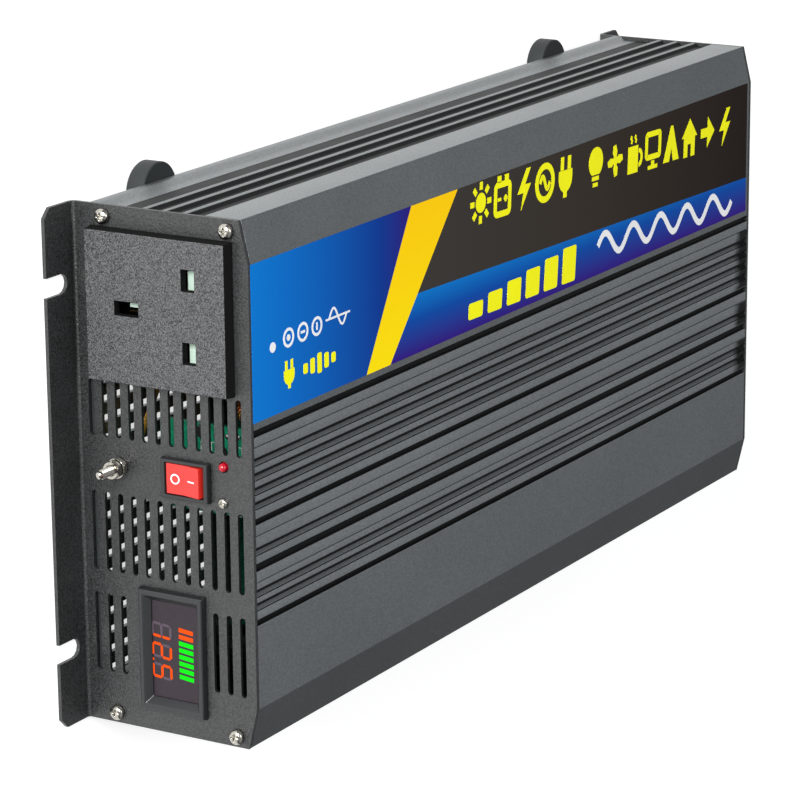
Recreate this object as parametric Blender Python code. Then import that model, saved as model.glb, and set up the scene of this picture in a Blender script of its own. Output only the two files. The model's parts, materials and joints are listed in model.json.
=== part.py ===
"""Power inverter with a three-pin mains outlet, in metres, +Z up.

The case stands on four round feet. Its socket panel faces -Y, its fans and
battery terminals face +Y, and its finned cover is on top. The origin is under
the middle of the case, in the plane of the feet.
"""

import math

import bmesh
import bpy
from mathutils import Matrix, Vector

# ---------------------------------------------------------------- dimensions
GAP = 0.0003  # clearance between pieces that touch

# case
CASE_WIDTH = 0.1640
CASE_TOP = 0.0636
CASE_UNDERSIDE = 0.0069  # the base plate hangs this far above the feet's plane
SHELL_LENGTH = 0.3405  # both extrusions, between the end panels
WALL = 0.0020
CHAMFER_X = 0.0131  # from a side face to the top face
CHAMFER_Z = 0.0031
SEAM_Z = 0.0165  # base plate below, cover above
VALLEY = 0.0013  # depth of the recess along each side
PANEL = 0.0012  # sheet of the end panels
PANEL_FACE = SHELL_LENGTH / 2 + GAP + PANEL  # outer face of each end panel
PANEL_BACK = PANEL_FACE - PANEL

# end panel flanges
FLANGE = 0.0143
FLANGE_SLOT_X = 0.0577
FLANGE_SLOT_WIDTH = 0.0062
FLANGE_SLOT_DEPTH = 0.0105
BEND_RADIUS = 0.0010

# vent slots
VENT_WIDTH = 0.0020
VENT_PITCH = 0.00484
VENT_FIRST_Z = 0.0059
VENT_ROWS = 12
VENT_GROUPS = ((-0.0276, -0.0098), (0.0077, 0.0331), (0.0403, 0.0658))
BASE_SLOT_PITCH = 0.00615
BASE_SLOT_WIDTH = 0.0024
BASE_SLOT_LENGTH = 0.0560
BASE_SLOT_COUNT = 22
BASE_SLOT_LAST_X = 0.0655

# screws that hold the end panels
SCREW_X = 0.0785
SCREW_LOW_Z = 0.0124
SCREW_HIGH_Z = 0.0565
SCREW_HOLE = 0.0016  # radius
SCREW_SHANK = 0.0013  # radius
SCREW_HEAD = 0.0024  # radius
SCREW_REACH = 0.0080  # shank inside the shell

# feet
FOOT_RADIUS = 0.0095
FOOT_X = 0.0780
FOOT_YS = {"front": -0.1333, "rear": 0.1227}

# mains outlet: pin centres follow the 22.2 mm pin triangle
OUTLET_X = -0.05195
OUTLET_LOW_Z = 0.0083
OUTLET_HIGH_Z = 0.0580
OUTLET_HALF_WIDTH = 0.0232
OUTLET_PROUD = 0.0045
OUTLET_DRAFT = 0.0004
PIN_HALF_SPREAD = 0.0111
PIN_ROW_Z = 0.0451
EARTH_PIN_Z = PIN_ROW_Z - 0.0222
LIVE_SLOT = (0.0066, 0.0046)  # across, up
EARTH_SLOT = (0.0044, 0.0086)
OUTLET_WALL = 0.0030  # face thickness
OUTLET_BODY = (0.0410, 0.0419)  # the hollow box behind the panel, across and up
OUTLET_BODY_Z = 0.03415
OUTLET_BODY_DEPTH = 0.0200  # behind the panel
SHUTTER_THICKNESS = 0.0018

# rocker switch
SWITCH_X = -0.0005
SWITCH_Z = 0.0403
SWITCH_PROUD = 0.0020
ROCKER_TILT = math.radians(6)

# meter
METER_X = 0.0554
METER_Z = 0.0340
METER_HALF = (0.0198, 0.0121)
METER_PROUD = 0.0022

# lamp, small screw and protective earth stud on the socket panel
LAMP_X = -0.0062
LAMP_Z = 0.0535
BOARD_SCREW_X = 0.0051
BOARD_SCREW_Z = 0.0531
EARTH_STUD_X = -0.0013
EARTH_STUD_Z = 0.0163

# battery terminals and fans on the rear panel
TERMINAL_X = 0.0708
TERMINAL_Z = 0.0400
STUD_RADIUS = 0.0040
KNOB_RADIUS = 0.0085
FAN_X = 0.0262
FAN_Z = 0.0348
FAN_SIDE = 0.0500
FAN_DEPTH = 0.0150
FAN_BORE = 0.0238

# boards
BOARD_Z = 0.0130
BOARD_THICKNESS = 0.0016
BOARD_FRONT_Y = -0.1080
BOARD_REAR_Y = 0.1460
BOARD_HALF_WIDTH = 0.0700


# ------------------------------------------------------------------- helpers
def clear_scene():
    for item in list(bpy.data.objects):
        bpy.data.objects.remove(item, do_unlink=True)


def material(name, colour, roughness, metallic=0.0):
    """A plain Principled material, made once for each name."""
    if name in bpy.data.materials:
        return bpy.data.materials[name]
    finish = bpy.data.materials.new(name)
    finish.use_nodes = True
    shader = finish.node_tree.nodes["Principled BSDF"]
    shader.inputs["Base Color"].default_value = (*colour, 1.0)
    shader.inputs["Roughness"].default_value = roughness
    shader.inputs["Metallic"].default_value = metallic
    finish.diffuse_color = (*colour, 1.0)
    return finish


def finishes():
    material("anodised_grey", (0.11, 0.125, 0.13), 0.42, 0.85)
    material("powder_charcoal", (0.055, 0.06, 0.06), 0.62)
    material("outlet_grey", (0.11, 0.11, 0.115), 0.60)
    material("black_plastic", (0.02, 0.02, 0.022), 0.45)
    material("foot_rubber", (0.045, 0.052, 0.052), 0.70)
    material("chrome_steel", (0.80, 0.80, 0.80), 0.15, 1.0)
    material("brass", (0.80, 0.58, 0.25), 0.30, 1.0)
    material("copper", (0.75, 0.34, 0.16), 0.35, 1.0)
    material("rocker_red", (0.85, 0.09, 0.06), 0.35)
    material("lamp_red", (0.75, 0.01, 0.03), 0.15)
    material("terminal_red", (0.55, 0.03, 0.03), 0.45)
    material("shutter_white", (0.70, 0.80, 0.72), 0.45)
    material("meter_glass", (0.07, 0.05, 0.075), 0.12)
    material("board_green", (0.01, 0.13, 0.07), 0.45)
    material("ferrite_grey", (0.07, 0.06, 0.055), 0.60)
    material("raw_aluminium", (0.72, 0.73, 0.74), 0.35, 1.0)


def finished(name, bm, finish, smooth_angle=None):
    """The bmesh as a named object, faces out, with its material."""
    bmesh.ops.recalc_face_normals(bm, faces=bm.faces)
    mesh = bpy.data.meshes.new(name)
    bm.to_mesh(mesh)
    bm.free()
    mesh.materials.append(bpy.data.materials[finish])
    if smooth_angle is not None:
        mesh.shade_smooth()
        mesh.set_sharp_from_angle(angle=math.radians(smooth_angle))
    item = bpy.data.objects.new(name, mesh)
    bpy.context.scene.collection.objects.link(item)
    return item


def placed(axis, along, u, v):
    """A point from its distance along an axis and its place across it."""
    return {"X": (along, u, v), "Y": (u, along, v), "Z": (u, v, along)}[axis]


def add_prism(bm, outline, axis, low, high):
    """Add a closed prism: the outline carried along an axis."""
    corners = [bm.verts.new(placed(axis, low, u, v)) for u, v in outline]
    face = bm.faces.new(corners)
    shift = Vector(placed(axis, high - low, 0, 0))
    made = bmesh.ops.extrude_face_region(bm, geom=[face], use_keep_orig=True)
    moved = [v for v in made["geom"] if isinstance(v, bmesh.types.BMVert)]
    bmesh.ops.translate(bm, verts=moved, vec=shift)


def add_box(bm, low, high):
    x0, y0, z0 = low
    x1, y1, z1 = high
    add_prism(bm, rectangle((x0 + x1) / 2, (y0 + y1) / 2, x1 - x0, y1 - y0), "Z", z0, z1)


def add_turned(bm, profile, centre, axis, segments):
    """Add a solid of revolution from (distance along the axis, radius) pairs."""
    middle = Vector(centre)
    along = Vector(placed(axis, 1, 0, 0))
    across = Vector(placed(axis, 0, 1, 0))
    verts = [bm.verts.new(middle + along * h + across * r) for h, r in profile]
    edges = [bm.edges.new(pair) for pair in zip(verts, verts[1:])]
    bmesh.ops.spin(
        bm, geom=verts + edges, cent=middle, axis=along, angle=math.tau, steps=segments
    )
    bmesh.ops.remove_doubles(bm, verts=bm.verts, dist=1e-7)


def rectangle(u, v, width, height):
    a = width / 2
    b = height / 2
    return [(u - a, v - b), (u + a, v - b), (u + a, v + b), (u - a, v + b)]


def circle(u, v, radius, segments=16):
    return arc(u, v, radius, 0, 360 - 360 / segments, segments - 1)


def arc(u, v, radius, start, end, steps):
    """Points on an arc, angles in degrees."""
    turns = [math.radians(start + (end - start) * i / steps) for i in range(steps + 1)]
    return [(u + radius * math.cos(t), v + radius * math.sin(t)) for t in turns]


def stadium(u0, u1, v, width, steps=5):
    """A slot along u with round ends, between its end points."""
    r = width / 2
    return arc(u1 - r, v, r, -90, 90, steps) + arc(u0 + r, v, r, 90, 270, steps)


def rounded(u, v, width, height, radius, steps=3):
    """A rectangle with round corners."""
    a = width / 2 - radius
    b = height / 2 - radius
    points = arc(u + a, v + b, radius, 0, 90, steps)
    points += arc(u - a, v + b, radius, 90, 180, steps)
    points += arc(u - a, v - b, radius, 180, 270, steps)
    points += arc(u + a, v - b, radius, 270, 360, steps)
    return points


def prism(name, outline, axis, low, high, finish, smooth_angle=None):
    bm = bmesh.new()
    add_prism(bm, outline, axis, low, high)
    return finished(name, bm, finish, smooth_angle)


def box(name, low, high, finish):
    bm = bmesh.new()
    add_box(bm, low, high)
    return finished(name, bm, finish)


def turned(name, profile, centre, axis, finish, segments=24):
    bm = bmesh.new()
    add_turned(bm, profile, centre, axis, segments)
    return finished(name, bm, finish, 35)


def combine(target, bm, operation):
    """Join the bmesh to the target, or cut it away; its own shapes may overlap."""
    tool = finished(target.name + "_tool", bm, target.data.materials[0].name)
    tool.hide_render = True
    tool.display_type = "WIRE"
    step = target.modifiers.new(operation.lower(), "BOOLEAN")
    step.operation = operation
    step.solver = "EXACT"
    step.use_self = True
    step.object = tool
    return target


def set_origin(item, point):
    """Put the object's origin on its joint's axis, leaving its shape in place."""
    item.data.transform(Matrix.Translation(-Vector(point)))
    item.location = point


def mirrored_x(outline):
    return [(-u, v) for u, v in reversed(outline)]


# --------------------------------------------------------- shell extrusions
def side_rib(z, side_x):
    """One of the round-nosed ribs that run along a side, outer face at side_x."""
    root = side_x - VALLEY
    return [(root, z - 0.0022), (side_x - 0.0003, z - 0.0011), (side_x, z),
            (side_x - 0.0003, z + 0.0011), (root, z + 0.0022)]


def top_grooves():
    """(left edge, width, depth, slope width) of every groove, left to right."""
    wide = 0.0013
    fine = 0.0010
    line = 0.0003
    return (
        (-0.0184, 0.0023, wide, 0.0003),
        (-0.0132, 0.0003, line, 0.0001),
        (-0.0098, 0.0021, fine, 0.0009),
        (-0.0053, 0.0021, fine, 0.0009),
        (-0.0008, 0.0021, fine, 0.0009),
        (0.0037, 0.0021, fine, 0.0009),
        (0.0090, 0.0020, wide, 0.0003),
        (0.0143, 0.0003, line, 0.0001),
        (0.0180, 0.0021, fine, 0.0009),
        (0.0230, 0.0025, wide, 0.0003),
        (0.0288, 0.0003, line, 0.0001),
        (0.0311, 0.0021, fine, 0.0009),
        (0.0353, 0.0021, fine, 0.0009),
        (0.0406, 0.0020, wide, 0.0003),
    )


def top_line():
    """The top face from right to left, with its grooves; a ramped one ends in a thin notch."""
    points = [(CASE_WIDTH / 2 - CHAMFER_X, CASE_TOP)]
    for left, width, depth, slope in reversed(top_grooves()):
        right = left + width
        if slope > 0.0005:
            lip = right + 0.0001
            notch = lip + 0.0004
            points += [(notch, CASE_TOP), (notch, CASE_TOP - 0.0005), (lip, CASE_TOP - 0.0005),
                       (lip, CASE_TOP)]
        points.append((right, CASE_TOP))
        points.append((right - slope, CASE_TOP - depth))
        points.append((left, CASE_TOP - depth))
        points.append((left, CASE_TOP))
    points.append((-CASE_WIDTH / 2 + CHAMFER_X, CASE_TOP))
    return points


def cover_profile():
    """The cover's section: ribbed walls, chamfered shoulders and a finned top."""
    half = CASE_WIDTH / 2
    boss = SCREW_X - 0.0030  # the walls swell inwards around the screw holes
    right = [(half - VALLEY, SEAM_Z + GAP)]
    for z in (0.0260, 0.0330, 0.0402):
        right += side_rib(z, half)
    right += [(half - VALLEY, 0.0462), (half, 0.0480), (half, CASE_TOP - CHAMFER_Z)]
    inner_top = CASE_TOP - 0.0028
    inner = half - VALLEY - WALL
    lower = [(inner, SEAM_Z + GAP), (inner, SCREW_HIGH_Z - 0.0036),
             (boss, SCREW_HIGH_Z - 0.0030), (boss, inner_top)]
    outline = right + top_line() + mirrored_x(right)
    return outline + [(-u, v) for u, v in lower] + list(reversed(lower))


def base_profile():
    """The base plate's section: a tray with a lip, two corner bosses and card rails."""
    half = CASE_WIDTH / 2
    floor = CASE_UNDERSIDE + 0.0016
    boss = SCREW_X - 0.0030
    side = [(half, CASE_UNDERSIDE), (half, 0.0100), (half - VALLEY, 0.0120),
            (half - VALLEY, SEAM_Z), (boss, SEAM_Z), (boss, floor)]
    rail = 0.0680
    rail_top = BOARD_Z - GAP
    rails = [(rail + 0.001, floor), (rail + 0.001, rail_top), (rail - 0.001, rail_top),
             (rail - 0.001, floor)]
    right = side + rails
    return right + mirrored_x(right)


def screw_holes(bm, radius, low, high, zs):
    for x in (-SCREW_X, SCREW_X):
        for z in zs:
            add_prism(bm, circle(x, z, radius, 12), "Y", low, high)


def top_cover():
    end = SHELL_LENGTH / 2
    cover = prism("top_cover", cover_profile(), "Y", -end, end, "anodised_grey", 30)
    holes = bmesh.new()
    depth = SCREW_REACH + 0.002
    screw_holes(holes, SCREW_HOLE, -end - 0.001, -end + depth, (SCREW_HIGH_Z,))
    screw_holes(holes, SCREW_HOLE, end - depth, end + 0.001, (SCREW_HIGH_Z,))
    return combine(cover, holes, "DIFFERENCE")


def base_plate():
    end = SHELL_LENGTH / 2
    plate = prism("base_plate", base_profile(), "Y", -end, end, "anodised_grey", 30)
    holes = bmesh.new()
    depth = SCREW_REACH + 0.002
    screw_holes(holes, SCREW_HOLE, -end - 0.001, -end + depth, (SCREW_LOW_Z,))
    screw_holes(holes, SCREW_HOLE, end - depth, end + 0.001, (SCREW_LOW_Z,))
    start = -end + 0.0015
    for i in range(BASE_SLOT_COUNT):
        x = BASE_SLOT_LAST_X - i * BASE_SLOT_PITCH
        slot = rectangle(x, start + BASE_SLOT_LENGTH / 2, BASE_SLOT_WIDTH, BASE_SLOT_LENGTH)
        add_prism(holes, slot, "Z", CASE_UNDERSIDE - 0.001, CASE_UNDERSIDE + 0.0025)
    return combine(plate, holes, "DIFFERENCE")


# --------------------------------------------------------------- end panels
def panel_blank(name, facing):
    """A sheet bent outwards at the foot; facing is -1 at the front, 1 at the rear."""
    outer = facing * PANEL_FACE
    back = facing * PANEL_BACK
    tip = facing * (PANEL_FACE + FLANGE)
    inside = BEND_RADIUS
    outside = BEND_RADIUS + PANEL
    bend_y = outer + facing * inside
    bend_z = PANEL + inside
    turn = [(math.cos(math.radians(a)), math.sin(math.radians(a))) for a in (180, 202, 225, 247, 270)]
    outer_bend = [(bend_y + facing * outside * c, bend_z + outside * s) for c, s in turn]
    inner_bend = [(bend_y + facing * inside * c, bend_z + inside * s) for c, s in reversed(turn)]
    section = [(back, CASE_TOP)] + outer_bend + [(tip, 0), (tip, PANEL)]
    section += inner_bend + [(outer, CASE_TOP)]
    half = CASE_WIDTH / 2
    return prism(name, section, "X", -half, half, "powder_charcoal")


def add_panel_trims(bm, facing):
    """The cuts that both panels share: shoulders, flange corners, slots and screw holes."""
    half = CASE_WIDTH / 2
    near = min(facing * (PANEL_BACK - 0.002), facing * (PANEL_FACE + 0.002))
    far = max(facing * (PANEL_BACK - 0.002), facing * (PANEL_FACE + 0.002))
    over = 0.004
    tip = facing * (PANEL_FACE + FLANGE)
    slope = CHAMFER_Z / CHAMFER_X
    for side in (-1, 1):
        shoulder = [(side * (half - CHAMFER_X - over), CASE_TOP + over * slope),
                    (side * (half + over), CASE_TOP - CHAMFER_Z - over * slope),
                    (side * (half + over), CASE_TOP + over)]
        add_prism(bm, shoulder, "Y", near, far)
        corner = [(side * (half + over), tip - facing * (0.0030 + over)),
                  (side * (half - 0.0030 - over), tip + facing * over),
                  (side * (half + over), tip + facing * over)]
        add_prism(bm, corner, "Z", -0.001, PANEL + 0.001)
        r = FLANGE_SLOT_WIDTH / 2
        x = side * FLANGE_SLOT_X
        root = tip - facing * (FLANGE_SLOT_DEPTH - r)
        start = 0 if facing < 0 else 180
        slot = arc(x, root, r, start, start + 180, 6)
        slot += [(slot[-1][0], tip + facing * 0.001), (slot[0][0], tip + facing * 0.001)]
        add_prism(bm, slot, "Z", -0.001, PANEL + 0.001)
    screw_holes(bm, SCREW_HOLE, near, far, (SCREW_LOW_Z, SCREW_HIGH_Z))
    return near, far


def vent_z(row):
    return VENT_FIRST_Z + row * VENT_PITCH


def front_panel():
    panel = panel_blank("front_panel", -1)
    cuts = bmesh.new()
    near, far = add_panel_trims(cuts, -1)
    meter_rows = range(3, 9)
    for group, (left, right) in enumerate(VENT_GROUPS):
        for row in range(VENT_ROWS):
            if group == 2 and row in meter_rows:
                continue
            slot = stadium(left, right, vent_z(row), VENT_WIDTH)
            add_prism(cuts, slot, "Y", near, far)
    across, up = OUTLET_BODY
    outlet_hole = rectangle(OUTLET_X, OUTLET_BODY_Z, across + 2 * GAP, up + 2 * GAP)
    add_prism(cuts, outlet_hole, "Y", near, far)
    add_prism(cuts, rectangle(SWITCH_X, SWITCH_Z, 0.0120, 0.0166), "Y", near, far)
    add_prism(cuts, rectangle(METER_X, METER_Z, 0.0364, 0.0210), "Y", near, far)
    add_prism(cuts, circle(LAMP_X, LAMP_Z, 0.0018, 12), "Y", near, far)
    add_prism(cuts, circle(BOARD_SCREW_X, BOARD_SCREW_Z, 0.0013, 12), "Y", near, far)
    add_prism(cuts, circle(EARTH_STUD_X, EARTH_STUD_Z, 0.0018, 12), "Y", near, far)
    return combine(panel, cuts, "DIFFERENCE")


def rear_panel():
    panel = panel_blank("rear_panel", 1)
    cuts = bmesh.new()
    near, far = add_panel_trims(cuts, 1)
    for side in (-1, 1):
        for row in range(-4, 5):
            z = row * VENT_PITCH
            reach = math.sqrt((FAN_BORE - 0.0010) ** 2 - z ** 2)
            slot = stadium(side * FAN_X - reach, side * FAN_X + reach, FAN_Z + z, 0.0032)
            add_prism(cuts, slot, "Y", near, far)
        hole = circle(side * TERMINAL_X, TERMINAL_Z, 0.0073, 20)
        add_prism(cuts, hole, "Y", near, far)
    return combine(panel, cuts, "DIFFERENCE")


def panel_screws():
    for end, facing in (("front", -1), ("rear", 1)):
        for level, z in (("low", SCREW_LOW_Z), ("high", SCREW_HIGH_Z)):
            for side, x in (("left", -SCREW_X), ("right", SCREW_X)):
                seat = GAP
                profile = [(-PANEL - GAP - SCREW_REACH, 0), (-PANEL - GAP - SCREW_REACH, SCREW_SHANK),
                           (seat, SCREW_SHANK), (seat, SCREW_HEAD), (seat + 0.0011, SCREW_HEAD - 0.0002),
                           (seat + 0.0019, 0.0017), (seat + 0.0021, 0)]
                profile = [(facing * h, r) for h, r in profile]
                centre = (x, facing * PANEL_FACE, z)
                name = f"{end}_screw_{level}_{side}"
                turned(name, profile, centre, "Y", "chrome_steel", 16)


def feet():
    for end, y in FOOT_YS.items():
        for side, x in (("left", -FOOT_X), ("right", FOOT_X)):
            top = CASE_UNDERSIDE - GAP
            profile = [(0, 0), (0, FOOT_RADIUS - 0.0005), (0.0005, FOOT_RADIUS),
                       (top, FOOT_RADIUS), (top, 0)]
            turned(f"foot_{end}_{side}", profile, (x, y, 0), "Z", "foot_rubber", 32)


# ------------------------------------------------------------ mains outlet
def add_taper(bm, far_half, near_half, u, v, far_y, near_y):
    """A block whose half sizes change from far_y to near_y."""
    rings = []
    for (a, b), y in ((far_half, far_y), (near_half, near_y)):
        corners = ((-a, -b), (a, -b), (a, b), (-a, b))
        rings.append([bm.verts.new((u + p, y, v + q)) for p, q in corners])
    bm.faces.new(rings[0])
    bm.faces.new(reversed(rings[1]))
    for i in range(4):
        j = (i + 1) % 4
        bm.faces.new((rings[0][j], rings[0][i], rings[1][i], rings[1][j]))


def outlet_housing():
    """The moulded socket front: a drafted face on a hollow body, open at the back."""
    z = (OUTLET_LOW_Z + OUTLET_HIGH_Z) / 2
    half_z = (OUTLET_HIGH_Z - OUTLET_LOW_Z) / 2
    face = -PANEL_FACE - OUTLET_PROUD
    seat = -PANEL_FACE - GAP
    inner = face + OUTLET_WALL
    back = -PANEL_FACE + OUTLET_BODY_DEPTH
    draft = OUTLET_DRAFT
    bm = bmesh.new()
    add_taper(bm, (OUTLET_HALF_WIDTH, half_z), (OUTLET_HALF_WIDTH + draft, half_z + draft),
              OUTLET_X, z, face, seat)
    housing = finished("outlet_housing", bm, "outlet_grey")
    across, up = OUTLET_BODY
    body = bmesh.new()
    add_prism(body, rectangle(OUTLET_X, OUTLET_BODY_Z, across, up), "Y", seat - 0.001, back)
    combine(housing, body, "UNION")
    cuts = bmesh.new()
    hollow = rectangle(OUTLET_X, OUTLET_BODY_Z, across - 0.0030, up - 0.0030)
    add_prism(cuts, hollow, "Y", inner, back + 0.001)
    for x in (OUTLET_X - PIN_HALF_SPREAD, OUTLET_X + PIN_HALF_SPREAD):
        slot = rectangle(x, PIN_ROW_Z, *LIVE_SLOT)
        add_prism(cuts, slot, "Y", face - 0.001, inner + 0.0005)
    slot = rectangle(OUTLET_X, EARTH_PIN_Z, *EARTH_SLOT)
    add_prism(cuts, slot, "Y", face - 0.001, inner + 0.0005)
    return combine(housing, cuts, "DIFFERENCE")


def outlet_shutter():
    """A gate: a bar whose ramps cover the live slots, and a stem that meets the earth pin."""
    near = -PANEL_FACE - OUTLET_PROUD + OUTLET_WALL + GAP
    far = near + SHUTTER_THICKNESS
    deep = near + 0.0042
    bar_low = PIN_ROW_Z - LIVE_SLOT[1] / 2 - 0.0006
    bar_high = PIN_ROW_Z + LIVE_SLOT[1] / 2 + 0.0002
    bar = PIN_HALF_SPREAD + LIVE_SLOT[0] / 2 + 0.0010
    x = OUTLET_X
    ramp = [(near, bar_high), (near, PIN_ROW_Z + 0.0010), (near + 0.0006, PIN_ROW_Z),
            (deep - 0.0012, bar_low), (deep, bar_low), (far, bar_high)]
    shutter = prism("outlet_shutter", ramp, "X", x - bar, x + bar, "shutter_white")
    half = 0.0035
    stem_low = EARTH_PIN_Z + 0.0018
    step = stem_low + 0.0040
    outline = [(x - half, stem_low), (x, stem_low), (x, step), (x + half, step),
               (x + half, bar_high - 0.0002), (x - half, bar_high - 0.0002)]
    stem = bmesh.new()
    add_prism(stem, outline, "Y", near, far)
    combine(shutter, stem, "UNION")
    set_origin(shutter, (x, near, bar_low))
    return shutter


def outlet_back():
    """The insulating block that closes the housing and holds the contacts."""
    across, up = OUTLET_BODY
    near = -PANEL_FACE + OUTLET_BODY_DEPTH - 0.0060
    far = -PANEL_FACE + OUTLET_BODY_DEPTH + 0.0010
    plug = rectangle(OUTLET_X, OUTLET_BODY_Z, across - 0.0036, up - 0.0036)
    block = prism("outlet_back", plug, "Y", near, far, "black_plastic")
    cuts = bmesh.new()
    for x, height in contact_places():
        add_prism(cuts, rectangle(x, height, 0.0036, 0.0014), "Y", near - 0.001, far + 0.001)
    return combine(block, cuts, "DIFFERENCE")


def contact_places():
    return ((OUTLET_X + PIN_HALF_SPREAD, PIN_ROW_Z), (OUTLET_X - PIN_HALF_SPREAD, PIN_ROW_Z),
            (OUTLET_X, EARTH_PIN_Z))


def outlet_contacts():
    """Brass forks: two leaves that grip a pin, on a tail that leaves by the back."""
    leaf_near = -PANEL_FACE + 0.0034
    root = -PANEL_FACE + OUTLET_BODY_DEPTH - 0.0074
    tail_end = -PANEL_FACE + OUTLET_BODY_DEPTH + 0.0060
    leaf = 0.0006
    names = ("outlet_line_contact", "outlet_neutral_contact", "outlet_earth_contact")
    for name, (x, z) in zip(names, contact_places()):
        wide, high = EARTH_SLOT if name.endswith("earth_contact") else LIVE_SLOT
        if high > wide:
            gap = wide / 2
            span = high / 2
            section = [(-gap - leaf, leaf_near), (-gap, leaf_near), (-gap, root), (gap, root),
                       (gap, leaf_near), (gap + leaf, leaf_near), (gap + leaf, root + leaf),
                       (-gap - leaf, root + leaf)]
            outline = [(x + u, y) for u, y in section]
            contact = prism(name, outline, "Z", z - span, z + span, "brass")
        else:
            gap = high / 2
            span = wide / 2
            section = [(leaf_near, -gap - leaf), (leaf_near, -gap), (root, -gap), (root, gap),
                       (leaf_near, gap), (leaf_near, gap + leaf), (root + leaf, gap + leaf),
                       (root + leaf, -gap - leaf)]
            outline = [(y, z + v) for y, v in section]
            contact = prism(name, outline, "X", x - span, x + span, "brass")
        tail = bmesh.new()
        add_box(tail, (x - 0.0015, root + leaf / 2, z - 0.0004), (x + 0.0015, tail_end, z + 0.0004))
        combine(contact, tail, "UNION")


# ----------------------------------------------------------- rocker switch
SWITCH_PIVOT_Y = -PANEL_FACE + 0.0015
ROCKER_HALF_WIDTH = 0.0047
SWITCH_OPENING = (0.0100, 0.0138)


def switch_frame():
    """The bezel and the hollow body behind it, open at both ends."""
    face = -PANEL_FACE - SWITCH_PROUD
    seat = -PANEL_FACE - GAP
    back = -PANEL_FACE + 0.0125
    bm = bmesh.new()
    add_taper(bm, (0.0060, 0.0084), (0.0064, 0.0088), SWITCH_X, SWITCH_Z, face, seat)
    frame = finished("switch_frame", bm, "black_plastic")
    body = bmesh.new()
    add_prism(body, rectangle(SWITCH_X, SWITCH_Z, 0.0114, 0.0162), "Y", seat - 0.0005, back)
    combine(frame, body, "UNION")
    cuts = bmesh.new()
    across, up = SWITCH_OPENING
    add_prism(cuts, rectangle(SWITCH_X, SWITCH_Z, across, up), "Y", face - 0.001, back - 0.002)
    add_prism(cuts, rectangle(SWITCH_X, SWITCH_Z, across, 0.0150), "Y", seat + 0.0002, back - 0.002)
    pivot_hole = circle(SWITCH_PIVOT_Y, SWITCH_Z, 0.0013, 12)
    reach = 0.0061
    add_prism(cuts, pivot_hole, "X", SWITCH_X - reach, SWITCH_X + reach)
    return combine(frame, cuts, "DIFFERENCE")


def switch_rocker():
    """The see-saw key, resting with its lower half pressed in."""
    half = 0.0062
    valley = 0.0030
    rise = half * math.tan(ROCKER_TILT)
    skirt = 0.0064
    neutral = [(-valley, 0), (-valley - rise, half), (-0.0026, skirt), (-0.0006, skirt),
               (0.0006, 0.0030), (0.0006, -0.0030), (-0.0006, -skirt), (-0.0026, -skirt),
               (-valley - rise, -half)]
    c = math.cos(-ROCKER_TILT)
    s = math.sin(-ROCKER_TILT)
    section = [(SWITCH_PIVOT_Y + y * c + z * s, SWITCH_Z - y * s + z * c) for y, z in neutral]
    rocker = prism("switch_rocker", section, "X", SWITCH_X - ROCKER_HALF_WIDTH,
                   SWITCH_X + ROCKER_HALF_WIDTH, "rocker_red")
    pins = bmesh.new()
    pin = circle(SWITCH_PIVOT_Y, SWITCH_Z, 0.0009, 12)
    add_prism(pins, pin, "X", SWITCH_X - 0.0055, SWITCH_X + 0.0055)
    combine(rocker, pins, "UNION")
    set_origin(rocker, (SWITCH_X, SWITCH_PIVOT_Y, SWITCH_Z))
    return rocker


# ------------------------------------------------- lamp, screw, earth stud
def power_lamp():
    """A 3 mm lamp with a flanged foot, standing on the control board."""
    radius = 0.0015
    base = 0.0028
    tip = -0.0011
    dome = [(base, 0), (base, 0.0019), (base - 0.0008, 0.0019), (base - 0.0008, radius)]
    for angle in range(0, 90, 18):
        turn = math.radians(angle)
        dome.append((tip + radius - radius * math.sin(turn) - 0.0006, radius * math.cos(turn)))
    dome.append((tip - 0.0006, 0))
    turned("power_lamp", dome, (LAMP_X, -PANEL_FACE, LAMP_Z), "Y", "lamp_red", 16)


def board_screw():
    """The small screw that ties the control board's pillar to the panel."""
    profile = [(-0.0013, 0), (-0.0011, 0.0011), (-GAP, 0.0016), (-GAP, 0.0010),
               (0.0150, 0.0010), (0.0150, 0)]
    centre = (BOARD_SCREW_X, -PANEL_FACE, BOARD_SCREW_Z)
    turned("board_screw", profile, centre, "Y", "chrome_steel", 16)


def hexagon(u, v, across_flats):
    corner = across_flats / math.sqrt(3)
    return arc(u, v, corner, 0, 300, 5)


def ring_prism(name, outline, hole, axis, low, high, finish):
    """A prism with a round hole along it."""
    piece = prism(name, outline, axis, low, high, finish)
    cut = bmesh.new()
    add_prism(cut, hole, axis, low - 0.001, high + 0.001)
    return combine(piece, cut, "DIFFERENCE")


def earth_terminal():
    """An M3 stud with a fixed lock nut, a washer and a loose clamping nut."""
    x = EARTH_STUD_X
    z = EARTH_STUD_Z
    face = -PANEL_FACE
    stud = [(0.0036, 0), (0.0036, 0.0027), (PANEL + GAP, 0.0027), (PANEL + GAP, 0.0015),
            (-0.0118, 0.0015), (-0.0124, 0.0010), (-0.0124, 0)]
    turned("earth_stud", stud, (x, face, z), "Y", "chrome_steel", 16)
    hole = circle(x, z, 0.0018, 12)
    seat = face - GAP
    ring_prism("earth_lock_nut", hexagon(x, z, 0.0050), hole, "Y", seat - 0.0020, seat,
               "chrome_steel")
    washer_far = seat - 0.0020 - GAP
    ring_prism("earth_washer", circle(x, z, 0.0032, 20), hole, "Y", washer_far - 0.0006,
               washer_far, "chrome_steel")
    nut_far = washer_far - 0.0006 - GAP
    nut = ring_prism("earth_nut", hexagon(x, z, 0.0055), hole, "Y", nut_far - 0.0024, nut_far,
                     "chrome_steel")
    return nut


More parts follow.
